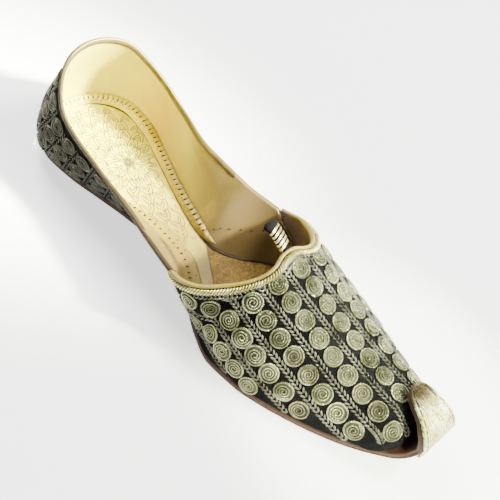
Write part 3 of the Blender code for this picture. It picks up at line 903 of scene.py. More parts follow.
def coil():
    """Wire round a flat spiral: plan place and rise of every point, with the radius
    growing evenly with the turn, and the wire's thickness tapering at both ends."""
    turn_step = (DISC_RADIUS - 1.8 * RIM_WIDE) / (DISC_TURNS + 0.55)
    u = np.linspace(0, 1, 66)
    swing = 2 * np.pi * DISC_TURNS * u ** 0.72
    r = turn_step * (0.28 + swing / (2 * np.pi))
    thin = turn_step * 0.37 * np.minimum(1, np.minimum(u / 0.03, (1 - u) / 0.025)) ** 0.5
    spin = circle(6)
    flat = r[:, None] + thin[:, None] * np.cos(spin)
    rise = thin[:, None] * np.sin(spin) * 1.5
    return flat * np.cos(swing)[:, None], flat * np.sin(swing)[:, None], rise


def rim_stitches():
    """Short stitches that cross the outermost turn all round: spindles that run outward
    and down, whose ends are points."""
    u = np.linspace(0, 1, 4)[:, None]
    spin = circle(4)[None, :]
    stout = 0.30 * np.sqrt(np.maximum(4 * u * (1 - u), 0))
    r = DISC_RADIUS - 1.25 + 1.5 * u
    aside = stout * np.cos(spin)
    rise = 0.45 + 0.62 * np.sin(np.pi * np.minimum(u * 1.15, 1)) - 0.55 * u ** 2
    rise = rise + stout * np.sin(spin)
    turn = circle(RIM_STITCHES)[:, None, None]
    a = r * np.cos(turn) - aside * np.sin(turn)
    b = r * np.sin(turn) + aside * np.cos(turn)
    return a, b, np.broadcast_to(rise, a.shape)


def lay_on(chart_point, along, across, a, b, rise, turn):
    """Lay a small shape on a charted surface at many places. Its plan is turned and brought
    to the chart's measures there by the inverse of the chart's own stretch and skew, so
    that a round thing stays round, and its rise goes along the surface's normal."""
    turn = np.asarray(turn, float).reshape(-1, 1, 1)
    along, across = (np.asarray(m, float).reshape(-1, 1, 1) for m in (along, across))
    step = 1.5
    u = (chart_point(along + step, across) - chart_point(along - step, across)) / (2 * step)
    w = (chart_point(along, across + step) - chart_point(along, across - step)) / (2 * step)
    size = np.maximum(np.linalg.norm(u, axis=-1), 0.3)
    skew = (u * w).sum(-1) / size
    width = np.sqrt(np.maximum((w * w).sum(-1) - skew ** 2, 0.2))
    ahead = a * np.cos(turn) - b * np.sin(turn)
    aside = (a * np.sin(turn) + b * np.cos(turn)) / width
    laid = chart_point(along + (ahead - skew * aside) / size, across + aside)
    laid += rise[..., None] * normal_of(chart_point, along, across)
    # What would run down over the sole ends just inside its top face.
    laid[..., 2] = np.maximum(laid[..., 2], bed(laid[..., 1], BOARD - 0.6))
    return laid


def disc_places(rows):
    """Along and across measures of every disc, from the table of rows, less those that
    would mostly hang over the foot line."""
    row = np.concatenate([np.full(last - first + 1, r) for r, first, last in rows])
    number = np.concatenate([np.arange(first, last + 1) for _, first, last in rows])
    along = DISC_START + DISC_STEP * (number + 5) - ROW_LAG * row ** 2.0
    along = along + 0.3 * np.maximum(along - ridge_arc[-1], 0)
    across = row_across(row)
    room = room_to_foot(along, across)
    fits = room > np.where(along > NEAR_TOE, 5.0, 2.4)
    return along[fits], across[fits]


def coil_discs(name, chart_point, along, across, finish, seed, scale=1.0):
    """A joined mesh of wound discs, each with its own turn and a small change of size, with
    their rims and the stitches over them, and another of the dull pads that fill them."""
    chance = np.random.default_rng(seed)
    count = len(along)
    turn = chance.uniform(0, 2 * np.pi, count)
    size = scale * (1 + chance.uniform(-0.03, 0.03, count))[:, None, None]

    def laid(a, b, rise):
        """A shape of one disc, sized, turned and laid on the chart at every place."""
        return lay_on(chart_point, along, across, a * size, b * size, rise - VELVET_DROP, turn)

    a, b, rise = coil()
    wires = laid(a, b, (rise + DISC_RISE)[None])
    spin = circle(24)[None, :]
    rings = np.array((0.0, 0.5, 0.84, 0.92, 0.86, 0.0))[:, None] * DISC_RADIUS
    lift = np.array((0.45, 0.45, 0.4, 0.2, -0.3, -0.3))[:, None] * DISC_RISE * np.ones_like(spin)
    pads = laid(rings * np.cos(spin), rings * np.sin(spin), lift[None])
    rims = [laid(*(m[None] for m in stitch)) for stitch in zip(*rim_stitches())]
    turns = circle(30)[:, None]
    spin = circle(6)[None, :]
    r = DISC_RADIUS - RIM_WIDE * (1 - 0.9 * np.cos(spin))
    hoops = laid(r * np.cos(turns), r * np.sin(turns), (0.5 + 0.62 * np.sin(spin) + 0 * turns)[None])
    make_piece(name + "_pads", [repeated(pads, (0.0, 0.0), wrap_columns=True)], pad_finish)
    return make_piece(name, [tubes(wires, 1.0), tubes(hoops, 1.0, wrap_rows=True),
                             tubes(np.concatenate(rims), 0.5)], finish)


# Twist: slanting strands of a laid or wound thread, from the length and round of its UV map.
twist, given, told = new_group("twist", (("Strands a step", 1.4), ("Tarnish scale", 90.0)),
                               ("Strands", "Tarnish"))
lay = node(twist, "SeparateXYZ", Vector=node(twist, "UVMap", {"uv_map": "along"}).outputs[0])
turned = maths(twist, "MULTIPLY", lay.outputs[0], given["Strands a step"])
turned = maths(twist, "ADD", turned, lay.outputs[1])
wave = maths(twist, "SINE", maths(twist, "MULTIPLY", turned, 2 * math.pi))
twist.links.new(maths(twist, "MULTIPLY_ADD", wave, 0.5, 0.5), told["Strands"])
stain = node(twist, "TexNoise", Vector=place_in(twist), Scale=given["Tarnish scale"], Detail=3.0)
twist.links.new(stain.outputs["Fac"], told["Tarnish"])


def metal_thread(name, dark, light, roughness, strands=1.4, depth=0.12, metallic=0.85):
    """Wound or laid metal thread: bright strands, darker twist between them and tarnish."""
    made, tree, shader = begin_finish(name, roughness, metallic)
    seen = use_group(tree, twist, Strands_a_step=strands)
    dull = ramp(tree, seen["Tarnish"], ((0.38, dark), (0.60, light)))
    between = lacking(tree, seen["Strands"], 0.55)
    colour = blend(tree, between, dull, tuple(c * 0.45 for c in dark))
    gloss = maths(tree, "MULTIPLY_ADD", seen["Tarnish"], 0.25, roughness - 0.12)
    dress(tree, shader, colour, gloss, seen["Strands"], depth)
    return made


zari = metal_thread("metal_thread", (0.14, 0.147, 0.066), (0.44, 0.46, 0.235), 0.22)
pad_finish = metal_thread("pad_thread", (0.05, 0.052, 0.024), (0.14, 0.145, 0.073), 0.6, 3.0, 0.1,
                          0.5)
along, across = disc_places(DISC_ROWS)
coil_discs("vamp_discs", on_vamp, along, across, zari, 11)


# ---- braids between the rows ---------------------------------------------------------
# Flat silver-gilt thread laid in chevrons, whose points run towards the toe. Each braid fills
# the gap between two rows of discs and follows it on the surface.
CHEVRON_STEP, CHEVRON_ARM, CHEVRON_SPREAD, CHEVRON_THICK = 2.3, 3.3, 31.0, 0.52


def chevrons(name, chart_point, along, across, lean, finish, seed, size=1.0, lift=0.3):
    """Joined stitches at the given places: every chevron has two slim arms, each a spindle
    from the braid's edge to its middle."""
    chance = np.random.default_rng(seed)
    u = np.linspace(0, 1, 6)[:, None]
    spin = circle(5)[None, :]
    stout = size * CHEVRON_THICK * np.sqrt(np.maximum(4 * u * (1 - u), 0)) ** 0.8
    grids = []
    for hand in (-1, 1):
        swing = math.radians(CHEVRON_SPREAD) * (1 + chance.uniform(-0.15, 0.15, len(along)))
        swing = swing[:, None, None]
        run = (u - 1)[None] * CHEVRON_ARM * size
        aside = (stout * np.cos(spin))[None]
        a = run * np.cos(swing) + aside * np.sin(swing)
        b = hand * (0.22 * size - run * np.sin(swing) + aside * np.cos(swing))
        rise = (stout * np.sin(spin) * 0.85 + lift)[None] - VELVET_DROP
        grids.append(tubes(lay_on(chart_point, along, across, a, b, rise + 0 * a, lean), 0.4,
                           flip=hand > 0))
    return make_piece(name, grids, finish)


silver = metal_thread("silver_thread", (0.115, 0.115, 0.075), (0.32, 0.32, 0.22), 0.3)
# Braids on the vamp: row that it follows, start and end along the ridge.
BRAIDS = ((4.5, -30, 70), (3.5, -14, 92), (2.5, 2, 104), (1.5, 8, 110.5), (0.5, 9, 116),
          (-0.5, 9, 116), (-1.5, 8, 110.5), (-2.5, 2, 104), (-3.5, -14, 92), (-4.5, -30, 70))
along = np.concatenate([np.arange(start, end, CHEVRON_STEP) for _, start, end in BRAIDS])
across = np.concatenate([np.full(len(np.arange(start, end, CHEVRON_STEP)), float(row_across(row)))
                         for row, start, end in BRAIDS])
fits = room_to_foot(along, across) > np.where(along > NEAR_TOE, 2.0, 1.0)
chevrons("vamp_braids", on_vamp, along[fits], across[fits], 0.0, silver, 12)


# ---- embroidery on the quarters ------------------------------------------------------
# The same discs stand in columns from sole to collar, a braid between each two. The columns
# lean forward as they leave the back seam, where a braid covers the join.
COLUMN_STEP, COLUMN_LEAN, COLUMNS, BRAID_MIDDLE = 13.7, 0.36, 12, 20.0
SIDE_DISC_STEP, TOP_SPACE = 10.6, 9.6


def column_place(number, height):
    """Distance round the heel of a column at a height up the wall."""
    lean = COLUMN_LEAN * np.clip(np.abs(number) * COLUMN_STEP / 45, 0, 1)
    return number * COLUMN_STEP + np.sign(number) * lean * (height - BRAID_MIDDLE)


def under_vamp(height, around, spare):
    """Whether a place on the quarters lies behind the vamp's rear edge, or too near it."""
    place = on_quarter(height, around)
    share = height / wall_height(around)
    return place[..., 1] > vamp_rear(np.clip(share, 0, 1), np.sign(around)) - spare


number = np.concatenate([np.arange(COLUMNS) + 0.5, -np.arange(COLUMNS) - 0.5])
steps = np.arange(6)[None, :]
height = wall_height(number * COLUMN_STEP)[:, None] - TOP_SPACE - SIDE_DISC_STEP * steps
around = column_place(number[:, None], height)
height = wall_height(around) - TOP_SPACE - SIDE_DISC_STEP * steps
fits = (height > 3.4) & ~under_vamp(height, around, 6.4)
# The quarters' discs use the vamp's thread darkened as painted shade, for the outer side that faces
# away from the light.
zari_in_painted_shade = metal_thread("metal_thread_in_painted_shade", (0.020, 0.021, 0.011), (0.062, 0.064, 0.036), 0.42)
coil_discs("quarter_discs", on_quarter, height[fits], around[fits], zari_in_painted_shade, 13, 0.93)

number = np.arange(-COLUMNS, COLUMNS + 1)[:, None]
height = 1.5 + CHEVRON_STEP * np.arange(24)[None, :] + 0 * number
around = column_place(number, height)
fits = (height < wall_height(around) - 3.5) & ~under_vamp(height, around, 2.2)
lean = np.sign(number) * COLUMN_LEAN * np.clip(np.abs(number) * COLUMN_STEP / 45, 0, 1) + 0 * height
# The quarters' braids use the vamp's silver darkened as painted shade, for the outer side that faces
# away from the light.
silver_in_painted_shade = metal_thread("silver_thread_in_painted_shade", (0.015, 0.016, 0.012), (0.050, 0.052, 0.038), 0.44)
chevrons("quarter_braids", on_quarter, height[fits], around[fits], np.arctan(lean)[fits],
         silver_in_painted_shade, 14)


# ---- collar binding ------------------------------------------------------------------
# A strip of tan leather folded over the collar, with a corded bead sewn along its outer side
# and a fine cream cord along its top. Its ends run in under the vamp's wings.
COLLAR_FRONT = 148.0
# Section of the strip: down the outside, outward.
STRIP = ((1.5, -0.15), (0.7, 0.02), (-0.1, -0.02), (-0.5, -0.3), (-0.66, -0.85), (-0.5, -1.45),
         (0.0, -1.85), (1.0, -2.0), (2.5, -2.0), (2.55, -1.8), (1.0, -1.76), (0.25, -1.4),
         (0.2, -0.75), (0.7, -0.32), (1.45, -0.32))
BEAD = (0.3, 0.18, 0.46)
TOP_CORD = (-0.56, -1.15, 0.22)
TUCK = 1.75      # how far the collar moves in to pass behind the vamp's wing


def smoothed(values, span):
    """Moving mean down the rows of a table, whose ends are held."""
    padded = np.pad(values, ((span, span), (0, 0)), mode="edge")
    sums = np.cumsum(np.vstack([np.zeros((1, values.shape[1])), padded]), 0)
    return (sums[2 * span + 1:] - sums[:-2 * span - 1]) / (2 * span + 1)


def framed(line, beside, step=0.5, span=5, cut=3):
    """Evenly spaced points of a line, with a direction beside it and one above, both square
    to its run, and its length so far."""
    run = arc_length(line)
    even = fine(0, run[-1], step)
    line, beside = (np.stack([np.interp(even, run, m[:, k]) for k in range(3)], -1)
                    for m in (line, beside))
    line, beside = smoothed(line, cut), smoothed(beside, span)
    ahead = unit(np.gradient(line, axis=0))
    beside = unit(beside - (beside * ahead).sum(1, keepdims=True) * ahead)
    return line, beside, np.cross(ahead, beside), even


def pinch(even, run=3.0):
    """Share of full size along a trim: it grows from a point in its first millimetres and
    closes to a point in its last."""
    near = np.clip(np.minimum(even, even[-1] - even) / run, 0, 1)
    return np.sqrt(near * (2 - near))


def carried(frame, section, size=1.0, middle=None):
    """Section (beside, above) carried along a frame, scaled about its middle."""
    line, beside, above, _ = frame
    section = np.asarray(section, float)
    middle = section.mean(0) if middle is None else np.asarray(middle)
    shape = middle + (section - middle) * np.reshape(size, (-1, 1, 1))
    return line[:, None] + shape[..., :1] * beside[:, None] + shape[..., 1:] * above[:, None]


def ring(aside, above, radius, sides=10):
    """Round section of a cord."""
    spin = circle(sides)
    return np.stack([aside + radius * np.cos(spin), above + radius * np.sin(spin)], -1)


def trim(name, frame, section, size, finish, middle=None):
    """Piece of one section carried along a frame."""
    return make_piece(name, [tubes(carried(frame, section, size, middle)[None], 0.5)], finish)


def collar_half(side, share):
    """Half of the collar's line from its front end to the back seam, at a share of the
    quarters' height, moved in where the vamp's wing laps over it."""
    at = fine(COLLAR_FRONT, HEEL_END, 1.0)
    turns = (np.linspace(1, 0, 50) ** 2)[1:]
    line = np.concatenate([wall(at, side, quarter_top(at) * share), heel_wall(turns, side, share)])
    behind = gently(past(line[:, 1:2], vamp_rear(1.0, side) - 1.0, 6.0))
    return line - points(side, 0, 0) * TUCK * behind


collar_line, collar_down = (
    np.concatenate([collar_half(1.0, share), collar_half(-1.0, share)[::-1][1:]])
    for share in (1.0, 0.96))
collar = framed(collar_line, collar_down - collar_line)
ends = pinch(collar[3])
# On the outer side the strip is folded tighter and its cords lie nearly hidden.
near = past(collar[0][:, 0], BACK_X, -22) ** 1.5
tan_leather = leather("binding_leather", (0.075, 0.054, 0.017), (0.13, 0.095, 0.03), 0.62, 1700.0,
                      60.0, 0.05, Specular_IOR_Level=0.25)
trim("collar_binding", collar, STRIP, ends * (1 + 0.12 * near), tan_leather)
cream_cord = metal_thread("cream_cord", (0.52, 0.43, 0.12), (0.72, 0.62, 0.22), 0.6, 0.9, 0.1, 0.0)
# The bead's brown is painted shade: a darker copy of the cream cord, as it looks in the outer side's
# shade.
bead_in_painted_shade = leather("bead_in_painted_shade", (0.16, 0.13, 0.035), (0.28, 0.23, 0.07), 0.6, 1700.0, 60.0,
                       0.05)
# Painted shade darkens the strip and its bead on the outer side, which faces away from the light.
OUTER_SIDE_SHADE = ((0.0, (0.30, 0.26, 0.22)), (0.5, (0.45, 0.40, 0.35)), (1.0, (1, 1, 1)))
for finish in (tan_leather, bead_in_painted_shade):
    painted_shade_ramp(finish, OUTER_SIDE_SHADE, 0, 1 / 0.03, 1.13)
trim("collar_bead", collar, ring(*BEAD), ends * (1 - 0.6 * near), bead_in_painted_shade)
trim("collar_cord", collar, ring(*TOP_CORD, 8), ends * (1 - 0.8 * near), cream_cord)


# ---- throat and wing binding ---------------------------------------------------------
# The lining's edge is rolled outward over the vamp's edge. Beside it a rope of three gilt
# strands is couched down, and outside that a chain of silver thread.
ROLL, ROLL_WIDE = (0.2, -0.65), (0.98, 1.45)
ROPE, STRAND, ROPE_SWING, ROPE_PITCH = (2.75, 0.62), 0.76, 0.76, 4.7
PEAK_EASED, INNER_WING = (159, 9), (152, -8)      # station and run
CHAIN_ASIDE, CHAIN_STEP, CHAIN_SIZE, CHAIN_LIFT = 5.6, 2.0, 0.9, 0.55


def vamp_edge(side):
    """Edge of the vamp from the foot of its rear edge over the wing's tip to the throat's
    peak, and a second line a little inside it."""
    v = np.linspace(0.0, 0.97, 60)
    at = fine(vamp_rear(1.0, side) + 0.6, THROAT_AT - 1.5, 0.5)
    t = np.linspace(0.03, 1.0, 160)
    over = THROAT_AT + throat_shift(t)
    rear = vamp_rear(v, side)
    line, inner = (np.concatenate([wall(rear + step, side, v), wall(at, side, share),
                                   crown(over + step, side, t)])
                   for step, share in ((0, 1.0), (1, 0.97)))
    return line, unit(inner - line)


outer, inner = vamp_edge(-1.0), vamp_edge(1.0)
both = [np.concatenate([o, i[::-1][1:]]) for o, i in zip(outer, inner)]
# The line is smoothed more round the throat's peak.
throat, eased = framed(*both, 0.45, 14, 8), framed(*both, 0.45, 24, 24)
ease = smoothed(np.clip(1.6 - np.abs(throat[0][:, 1:2] - PEAK_EASED[0]) / PEAK_EASED[1], 0, 1), 8)
throat = tuple(a + (b - a) * ease for a, b in zip(throat[:3], eased[:3])) + (throat[3],)
ends = pinch(throat[3], 2.0)
# The binding is thinner on the rear edges, where it lies flat on the quarters.
on_rear = throat[0][:, 1] < vamp_rear(1.0, np.sign(throat[0][:, 0])) - 1.0
rear_share = smoothed(on_rear[:, None] * 1.0, 12)[:, 0]
wing = (throat[0][:, 0] > 0) * past(throat[0][:, 1], *INNER_WING)
full = 1 - 0.5 * np.maximum(rear_share, 0.7 * wing)
spin = circle(14)
roll_section = np.stack([np.cos(spin), np.sin(spin)], -1) * ROLL_WIDE + ROLL
roll_finish = leather("roll_leather", (0.18, 0.132, 0.011), (0.275, 0.21, 0.021), 0.4, 1500.0, 50.0,
                      0.03, Coat_Weight=0.08, Coat_Roughness=0.4)
trim("throat_roll", throat, roll_section, ends * full, roll_finish, (0.2, -0.6))


def rope(frame, size):
    """Three strands that wind round the rope's middle: each a cord whose middle goes round
    once in a pitch."""
    line, beside, above, even = frame
    strands = []
    for strand in range(3):
        angle = 2 * np.pi * (even / ROPE_PITCH + strand / 3)
        aside = ROPE[0] * size + ROPE_SWING * size * np.cos(angle)
        lift = (ROPE[1] + ROPE_SWING * np.sin(angle)) * size
        middle = line + aside[:, None] * beside + lift[:, None] * above
        spin = circle(7)
        thick = (STRAND * size * pinch(even, 1.5))[:, None, None]
        strands.append(middle[:, None] + thick * (np.cos(spin)[None, :, None] * beside[:, None]
                                                  + np.sin(spin)[None, :, None] * above[:, None]))
    strands = np.array(strands)
    middle = line + (ROPE[0] * size)[:, None] * beside + (ROPE[1] * size)[:, None] * above
    out = np.linalg.norm(strands - middle[None, :, None], axis=-1) / (ROPE_SWING + STRAND)
    out = out / size[None, :, None]
    return tubes(strands, 0.5), out.ravel()


gilt_cord = metal_thread("gilt_cord", (0.42, 0.37, 0.10), (0.82, 0.75, 0.30), 0.28, 0.0, 0.1, 0.7)
tree = gilt_cord.node_tree
shader = tree.nodes["Principled BSDF"]
# Painted shade: the strands darken towards the rope's core, in the shade between them.
rope_core_shade = ramp(tree, mark_in(tree, "out"), ((0.62, (0.04, 0.03, 0.01)), (0.84, (1, 1, 1))))
shaded(tree, shader, rope_core_shade)
strands, out = rope(throat, full)
cord = make_piece("throat_rope", [strands], gilt_cord, marks={"out": out})
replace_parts(cord, "throat_cord")


def on_throat(aside, run):
    """Point beside the throat's edge: a distance in from it and a run along it."""
    line, beside, above, even = throat
    run, aside = np.broadcast_arrays(run, aside)
    spot = [np.interp(run, even, line[:, k]) + aside * np.interp(run, even, beside[:, k])
            - (0.008 * aside ** 2) * np.interp(run, even, above[:, k]) for k in range(3)]
    return np.stack(spot, -1)


run = np.arange(1.5, throat[3][-1] - 1.5, CHAIN_STEP)
chevrons("throat_chain", on_throat, CHAIN_ASIDE * np.interp(run, throat[3], full), run, np.pi / 2,
         silver, 15, CHAIN_SIZE, CHAIN_LIFT)


# ---- wound tab -----------------------------------------------------------------------
# A tongue of black leather stands up behind the throat's peak. Bright gilt wire is wound
# round it in five bands, and its blunt tip is left bare.
TAB_LENGTH, TAB_RISE, TAB_BEND = 13.0, 3.4, 1.9
# Share of the length, half width, half thickness.
TAB = np.array(((0.0, 3.4, 1.0), (0.12, 3.5, 1.25), (0.4, 3.5, 1.45), (0.7, 3.8, 1.5), (0.76, 4.4, 2.0),
                (0.88, 4.5, 2.0), (0.97, 3.2, 1.3), (1.0, 0.0, 0.0)))
TAB_BANDS, BAND_FROM, BAND_STEP = 5, -0.10, 0.168
WIRES, WIRE_STEP, WIRE_RADIUS, WIRE_SLANT = 3, 0.030, 0.25, 0.35


def on_tab(share, spin, out=0.0, slant=0.0):
    """Point of the tab's skin: an oval section that grows and turns up along its length."""
    root_at = THROAT_AT + throat_shift(1.0)
    half, thick = track(TAB, 1, share) + out, track(TAB, 2, share) + out
    x = half * np.cos(spin)
    share = share + slant * x / TAB_LENGTH
    slope = np.arctan2(TAB_RISE * TAB_BEND * np.cos(share * TAB_BEND), TAB_LENGTH * 0.93)
    up = thick * np.sign(np.sin(spin)) * np.abs(np.sin(spin)) ** 0.8
    at = root_at - GAP - 0.4 - TAB_LENGTH * 0.93 * share + up * np.sin(slope)
    rise = TAB_RISE * np.sin(share * TAB_BEND) + up * np.cos(slope)
    return points(track(RIDGE, 1, root_at) + x, at, track(RIDGE, 2, root_at) - 0.4 + rise)


spin = circle(20)
share = np.concatenate([[0.0], np.linspace(0.0, 0.72, 16), np.linspace(0.74, 1.0, 18)])
leaf = on_tab(share[:, None], spin[None, :])
leaf[0] = leaf[0].mean(0)
black_leather = leather("tab_leather", (0.002, 0.002, 0.002), (0.006, 0.006, 0.007), 0.8, 1400.0,
                        90.0, 0.08, Specular_IOR_Level=0.06)
tab = make_piece("tab_leaf", [tubes(leaf[None], 1)], black_leather)
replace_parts(tab, "throat_tab")
band, wire = (m.ravel() for m in np.meshgrid(np.arange(TAB_BANDS), np.arange(WIRES), indexing="ij"))
middle = (BAND_FROM + BAND_STEP * band + WIRE_STEP * wire)[:, None, None]
spin = circle(28)[None, :, None]
tube = circle(6)[None, None, :]
wires = on_tab(middle + WIRE_RADIUS * np.cos(tube) / TAB_LENGTH, spin,
               0.15 + WIRE_RADIUS * np.sin(tube), WIRE_SLANT)
bright_wire = metal_thread("bright_wire", (0.52, 0.46, 0.15), (0.85, 0.79, 0.36), 0.25, 0.0)
make_piece("tab_wire", [tubes(wires, 0.5, wrap_rows=True)], bright_wire)


# ---- welt and seams inside -----------------------------------------------------------
# Where the lining meets the sock, a gathered strip of the same leather is whipped on with
# short stitches that pucker it. On the inner side the vamp's edge shows through the lining
# as a row of stitches.
WELT_HIGH, WELT_BULGE, PUCKER, PUCKER_STEP = 6.6, 0.45, 1.15, 3.5
WELT_IN = LINING_DROP + LINING_THICK + 0.12
WELT_ENDS, WELT_CLOSING = (143.0, 121.0), 12      # outer side, inner side
WELT_FOOT_OUT, LAST_GATHER = (50, 20), 5
SPREAD_FROM, SPREAD_RUN, SPREAD_IN, SPREAD_UP, SPREAD_SAG = 76.0, 26.0, 4.6, 6.5, 2.0
SOCK_INSET, SOCK_TOP = 4.5, 7.2


def inward(height, around, depth):
    """Point of the quarters moved in from their surface."""
    return on_quarter(height, around) - normal_of(on_quarter, height, around) * depth


def spread(around):
    """Share of its full spread that the strip has: over the outer waist it widens into a
    smooth cove between the sock and the wall."""
    at = on_quarter(4.0 + 0 * around, around)[..., 1]
    return gently(past(at, SPREAD_FROM, SPREAD_RUN) * (around < 0))


def on_welt(share, around):
    """Point of the strip from the sock's edge (share 0) up to the lining (share 1): a line
    between the two, swelled in the middle and drawn in at every stitch, or hollow where
    it spreads."""
    share, around = paired(share, around)
    wide = spread(around)
    foot = on_quarter(0.4 + 0 * around, around)
    flat = unit(normal_of(on_quarter, 0.4 + 0 * around, around) * np.array((1.0, 1.0, 0.0)))
    ahead = (around > 0) * past(foot[..., 1], *WELT_FOOT_OUT)
    low = foot - flat * (SOCK_INSET - MARGIN + 0.1 - 0.5 * ahead + SPREAD_IN * wide)[..., None]
    low[..., 2] = SOCK_TOP - 0.25
    step_in = lining_step(foot[..., 1])[..., None]
    high = inward(WELT_HIGH + SPREAD_UP * wide, around, WELT_IN + step_in - 0.75 * wide[..., None])
    gather = np.abs(np.cos(np.pi * around / PUCKER_STEP)) ** 0.7
    swell = WELT_BULGE * np.sin(np.pi * share)
    swell = swell + PUCKER * gather * np.sin(np.pi * share ** 1.6) ** 1.5
    swell = swell * (1 - wide) - SPREAD_SAG * wide * np.sin(np.pi * share)
    left = np.where(around > 0, past(foot[..., 1], WELT_ENDS[1], -WELT_CLOSING), 1.0) ** 0.7
    closed = inward(3.0, around, WELT_IN + step_in - 0.5)
    low, high = (closed + (m - closed) * left[..., None] for m in (low, high))
    swell = swell * left
    swollen = (np.array((0, 0, 0.5)) - flat * 0.8) * swell[..., None]
    return low + (high - low) * share[..., None] + swollen


start, end = (side * np.interp(front, quarter_column(side, [0.3])[::-1, 0, 1], quarter_around[side])
              for side, front in zip((-1.0, 1.0), WELT_ENDS))
around = fine(start, end, 0.44)[:, None]
share = np.linspace(0, 1, 11)[None, :]
welt_finish = leather("welt_leather", (0.58, 0.50, 0.03), (0.74, 0.66, 0.05), 0.46, 1500.0, 60.0,
                      0.03)
tree = welt_finish.node_tree
shader = tree.nodes["Principled BSDF"]
# Painted shade: the strip darkens in the valleys drawn in at each stitch, though not near its foot or
# in the cove.
drawn = ramp(tree, mark_in(tree, "gather"), ((0.0, (0.14, 0.10, 0.05)), (0.55, (1, 1, 1))))
shaded(tree, shader, drawn)
gather = np.abs(np.cos(np.pi * around / PUCKER_STEP)) * (1 - spread(around)) + spread(around)
gather = np.clip(gather + 1.2 * (1 - share) ** 1.5, 0, 1)
# Painted shade: the strip darkens towards the front, where the throat shades it.
painted_shade_ramp(welt_finish, ((0.12, (1, 1, 1)), (0.35, (0.75, 0.62, 0.6)),
                             (0.55, (0.48, 0.40, 0.45)), (0.82, (0.21, 0.16, 0.35))))
welt = make_piece("lining_welt", [patch(on_welt(share, around), flip=True)], welt_finish,
                  marks={"gather": gather.ravel()})
thicken(welt, 0.5)


def stitches(name, starts, ends, normals, thickness, finish, slot="sock_leather"):
    """Joined short stitches: each a spindle from its start to its end, arched along its
    normal, pointed at both ends."""
    u = np.linspace(0, 1, 5)[None, :, None, None]
    spin = circle(5)[None, None, :, None]
    a, b, n = (m[:, None, None, :] for m in (starts, ends, normals))
    across = unit(np.cross(b - a, n))
    stout = thickness * np.sqrt(np.maximum(4 * u * (1 - u), 0))
    bodies = (a + (b - a) * u + n * thickness * 1.1 * np.sin(np.pi * u)
              + stout * (np.cos(spin) * across + np.sin(spin) * n))
    return make_piece(name, [tubes(bodies, 0.5, flip=True)], finish)


brown_thread = leather("brown_thread", (0.008, 0.005, 0.002), (0.022, 0.014, 0.006), 0.85, 1700.0,
                       90.0, 0.05, Specular_IOR_Level=0.1)
gathers = np.arange(math.ceil(start / PUCKER_STEP), math.floor(end / PUCKER_STEP) + 1)
around = gathers * PUCKER_STEP + PUCKER_STEP / 2
around = around[around < end - LAST_GATHER]
facing = -normal_of(on_quarter, 9.0 + 0 * around, around)
wide = spread(around)
upper, lower = 0.98 - 0.5 * wide, 0.62 - 0.42 * wide
starts = np.concatenate([on_welt(upper - 0.36 + 0.27 * wide, around - 0.25) + facing * 0.85,
                         on_welt(lower - 0.1, around + 1.5)[::2]])
ends = np.concatenate([on_welt(upper, around + 0.35) + facing * 0.85,
                       (on_welt(lower, around + 1.9) + facing * 0.1)[::2]])
stitches("welt_stitches", starts, ends, np.concatenate([facing, facing[::2]]), 0.45, brown_thread)

seam_share = np.linspace(0.22, 0.93, 11)
at = vamp_rear(seam_share, 1.0) + 3.4
place = wall(at, 1.0, seam_share)
out = np.cross(wall(at + 0.5, 1.0, seam_share) - place, wall(at, 1.0, seam_share + 0.02) - place)
out = unit(out * np.sign(out[:, :1]))
deep = out * (LINING_DROP + LINING_STEP + LINING_THICK - 0.02)
stitches("seam_stitches", place - deep, wall(at + 0.9, 1.0, seam_share + 0.012) - deep, -out, 0.42,
         brown_thread)


# ---- sock ----------------------------------------------------------------------------
# Cream leather glued over the heel and waist, its front cut aslant. Pale gold foil is pressed
# into it: one many-ringed flower, whose rows of fine petals fill the whole sock.
SOCK_FRONT, SOCK_THICK = 152.0, 1.2
SLANT_X, SLANT_AT, SLANT = -1.5, 122.1, 1.43
SOCK_OUT, SOCK_OUT_AT = 1.9, (98, 16)
FLOWER_AT, FLOWER_X = 52.7, 2.2


def sock_sides(at, inset):
    """Outer and inner edge of the sock: inside the sole's edge, nearly to the lining at the
    outer waist, and cut aslant in front on the inner side."""
    left = edge(at, -1.0, SOCK_INSET - SOCK_OUT * past(at, *SOCK_OUT_AT) + inset)
    slanted = SLANT_X - inset - (at - SLANT_AT) / SLANT
    return left, np.minimum(edge(at, 1.0, SOCK_INSET + inset), slanted)


def on_sock(share, across):
    """Point of the sock's top: a share from heel to front and one from outer to inner edge.
    Its edge rolls down, and it waves a little where it was pressed."""
    share, across = paired(share, across)
    at = SOCK_INSET + (SOCK_FRONT - SOCK_INSET) * share
    left, right = sock_sides(at, 0.0)
    near = np.minimum(across, 1 - across) * np.maximum(right - left, 0.1)
    near = np.minimum(near, (1 - share) * 60)
    z = SOCK_TOP - 0.5 * np.exp(-near / 0.35) + 0.06 * np.sin(at * 0.7) * np.sin(across * 9)
    return points(left + (right - left) * across, at, z)


share = np.concatenate([np.linspace(0, 0.2, 30) ** 2 / 0.2, np.linspace(0.2, 1, 74)[1:]])
across = 0.5 - 0.5 * np.cos(np.pi * np.linspace(0, 1, 34))
sock_finish, tree, shader = begin_finish("sock_leather", 0.42, Coat_Weight=0.2, Coat_Roughness=0.4)
seen = use_group(tree, grain, Pebble_scale=1500.0, Cloud_scale=55.0, Crease_scale=230.0)
tone = ramp(tree, seen["Clouds"], ((0.34, (0.68, 0.61, 0.02)), (0.64, (0.88, 0.84, 0.05))))
scuffed = blend(tree, lacking(tree, seen["Creases"], 0.30), tone, (0.32, 0.25, 0.04))
dress(tree, shader, scuffed, maths(tree, "MULTIPLY_ADD", seen["Clouds"], 0.25, 0.28),
      maths(tree, "MULTIPLY_ADD", seen["Creases"], 0.7, seen["Pebbles"]), 0.06)
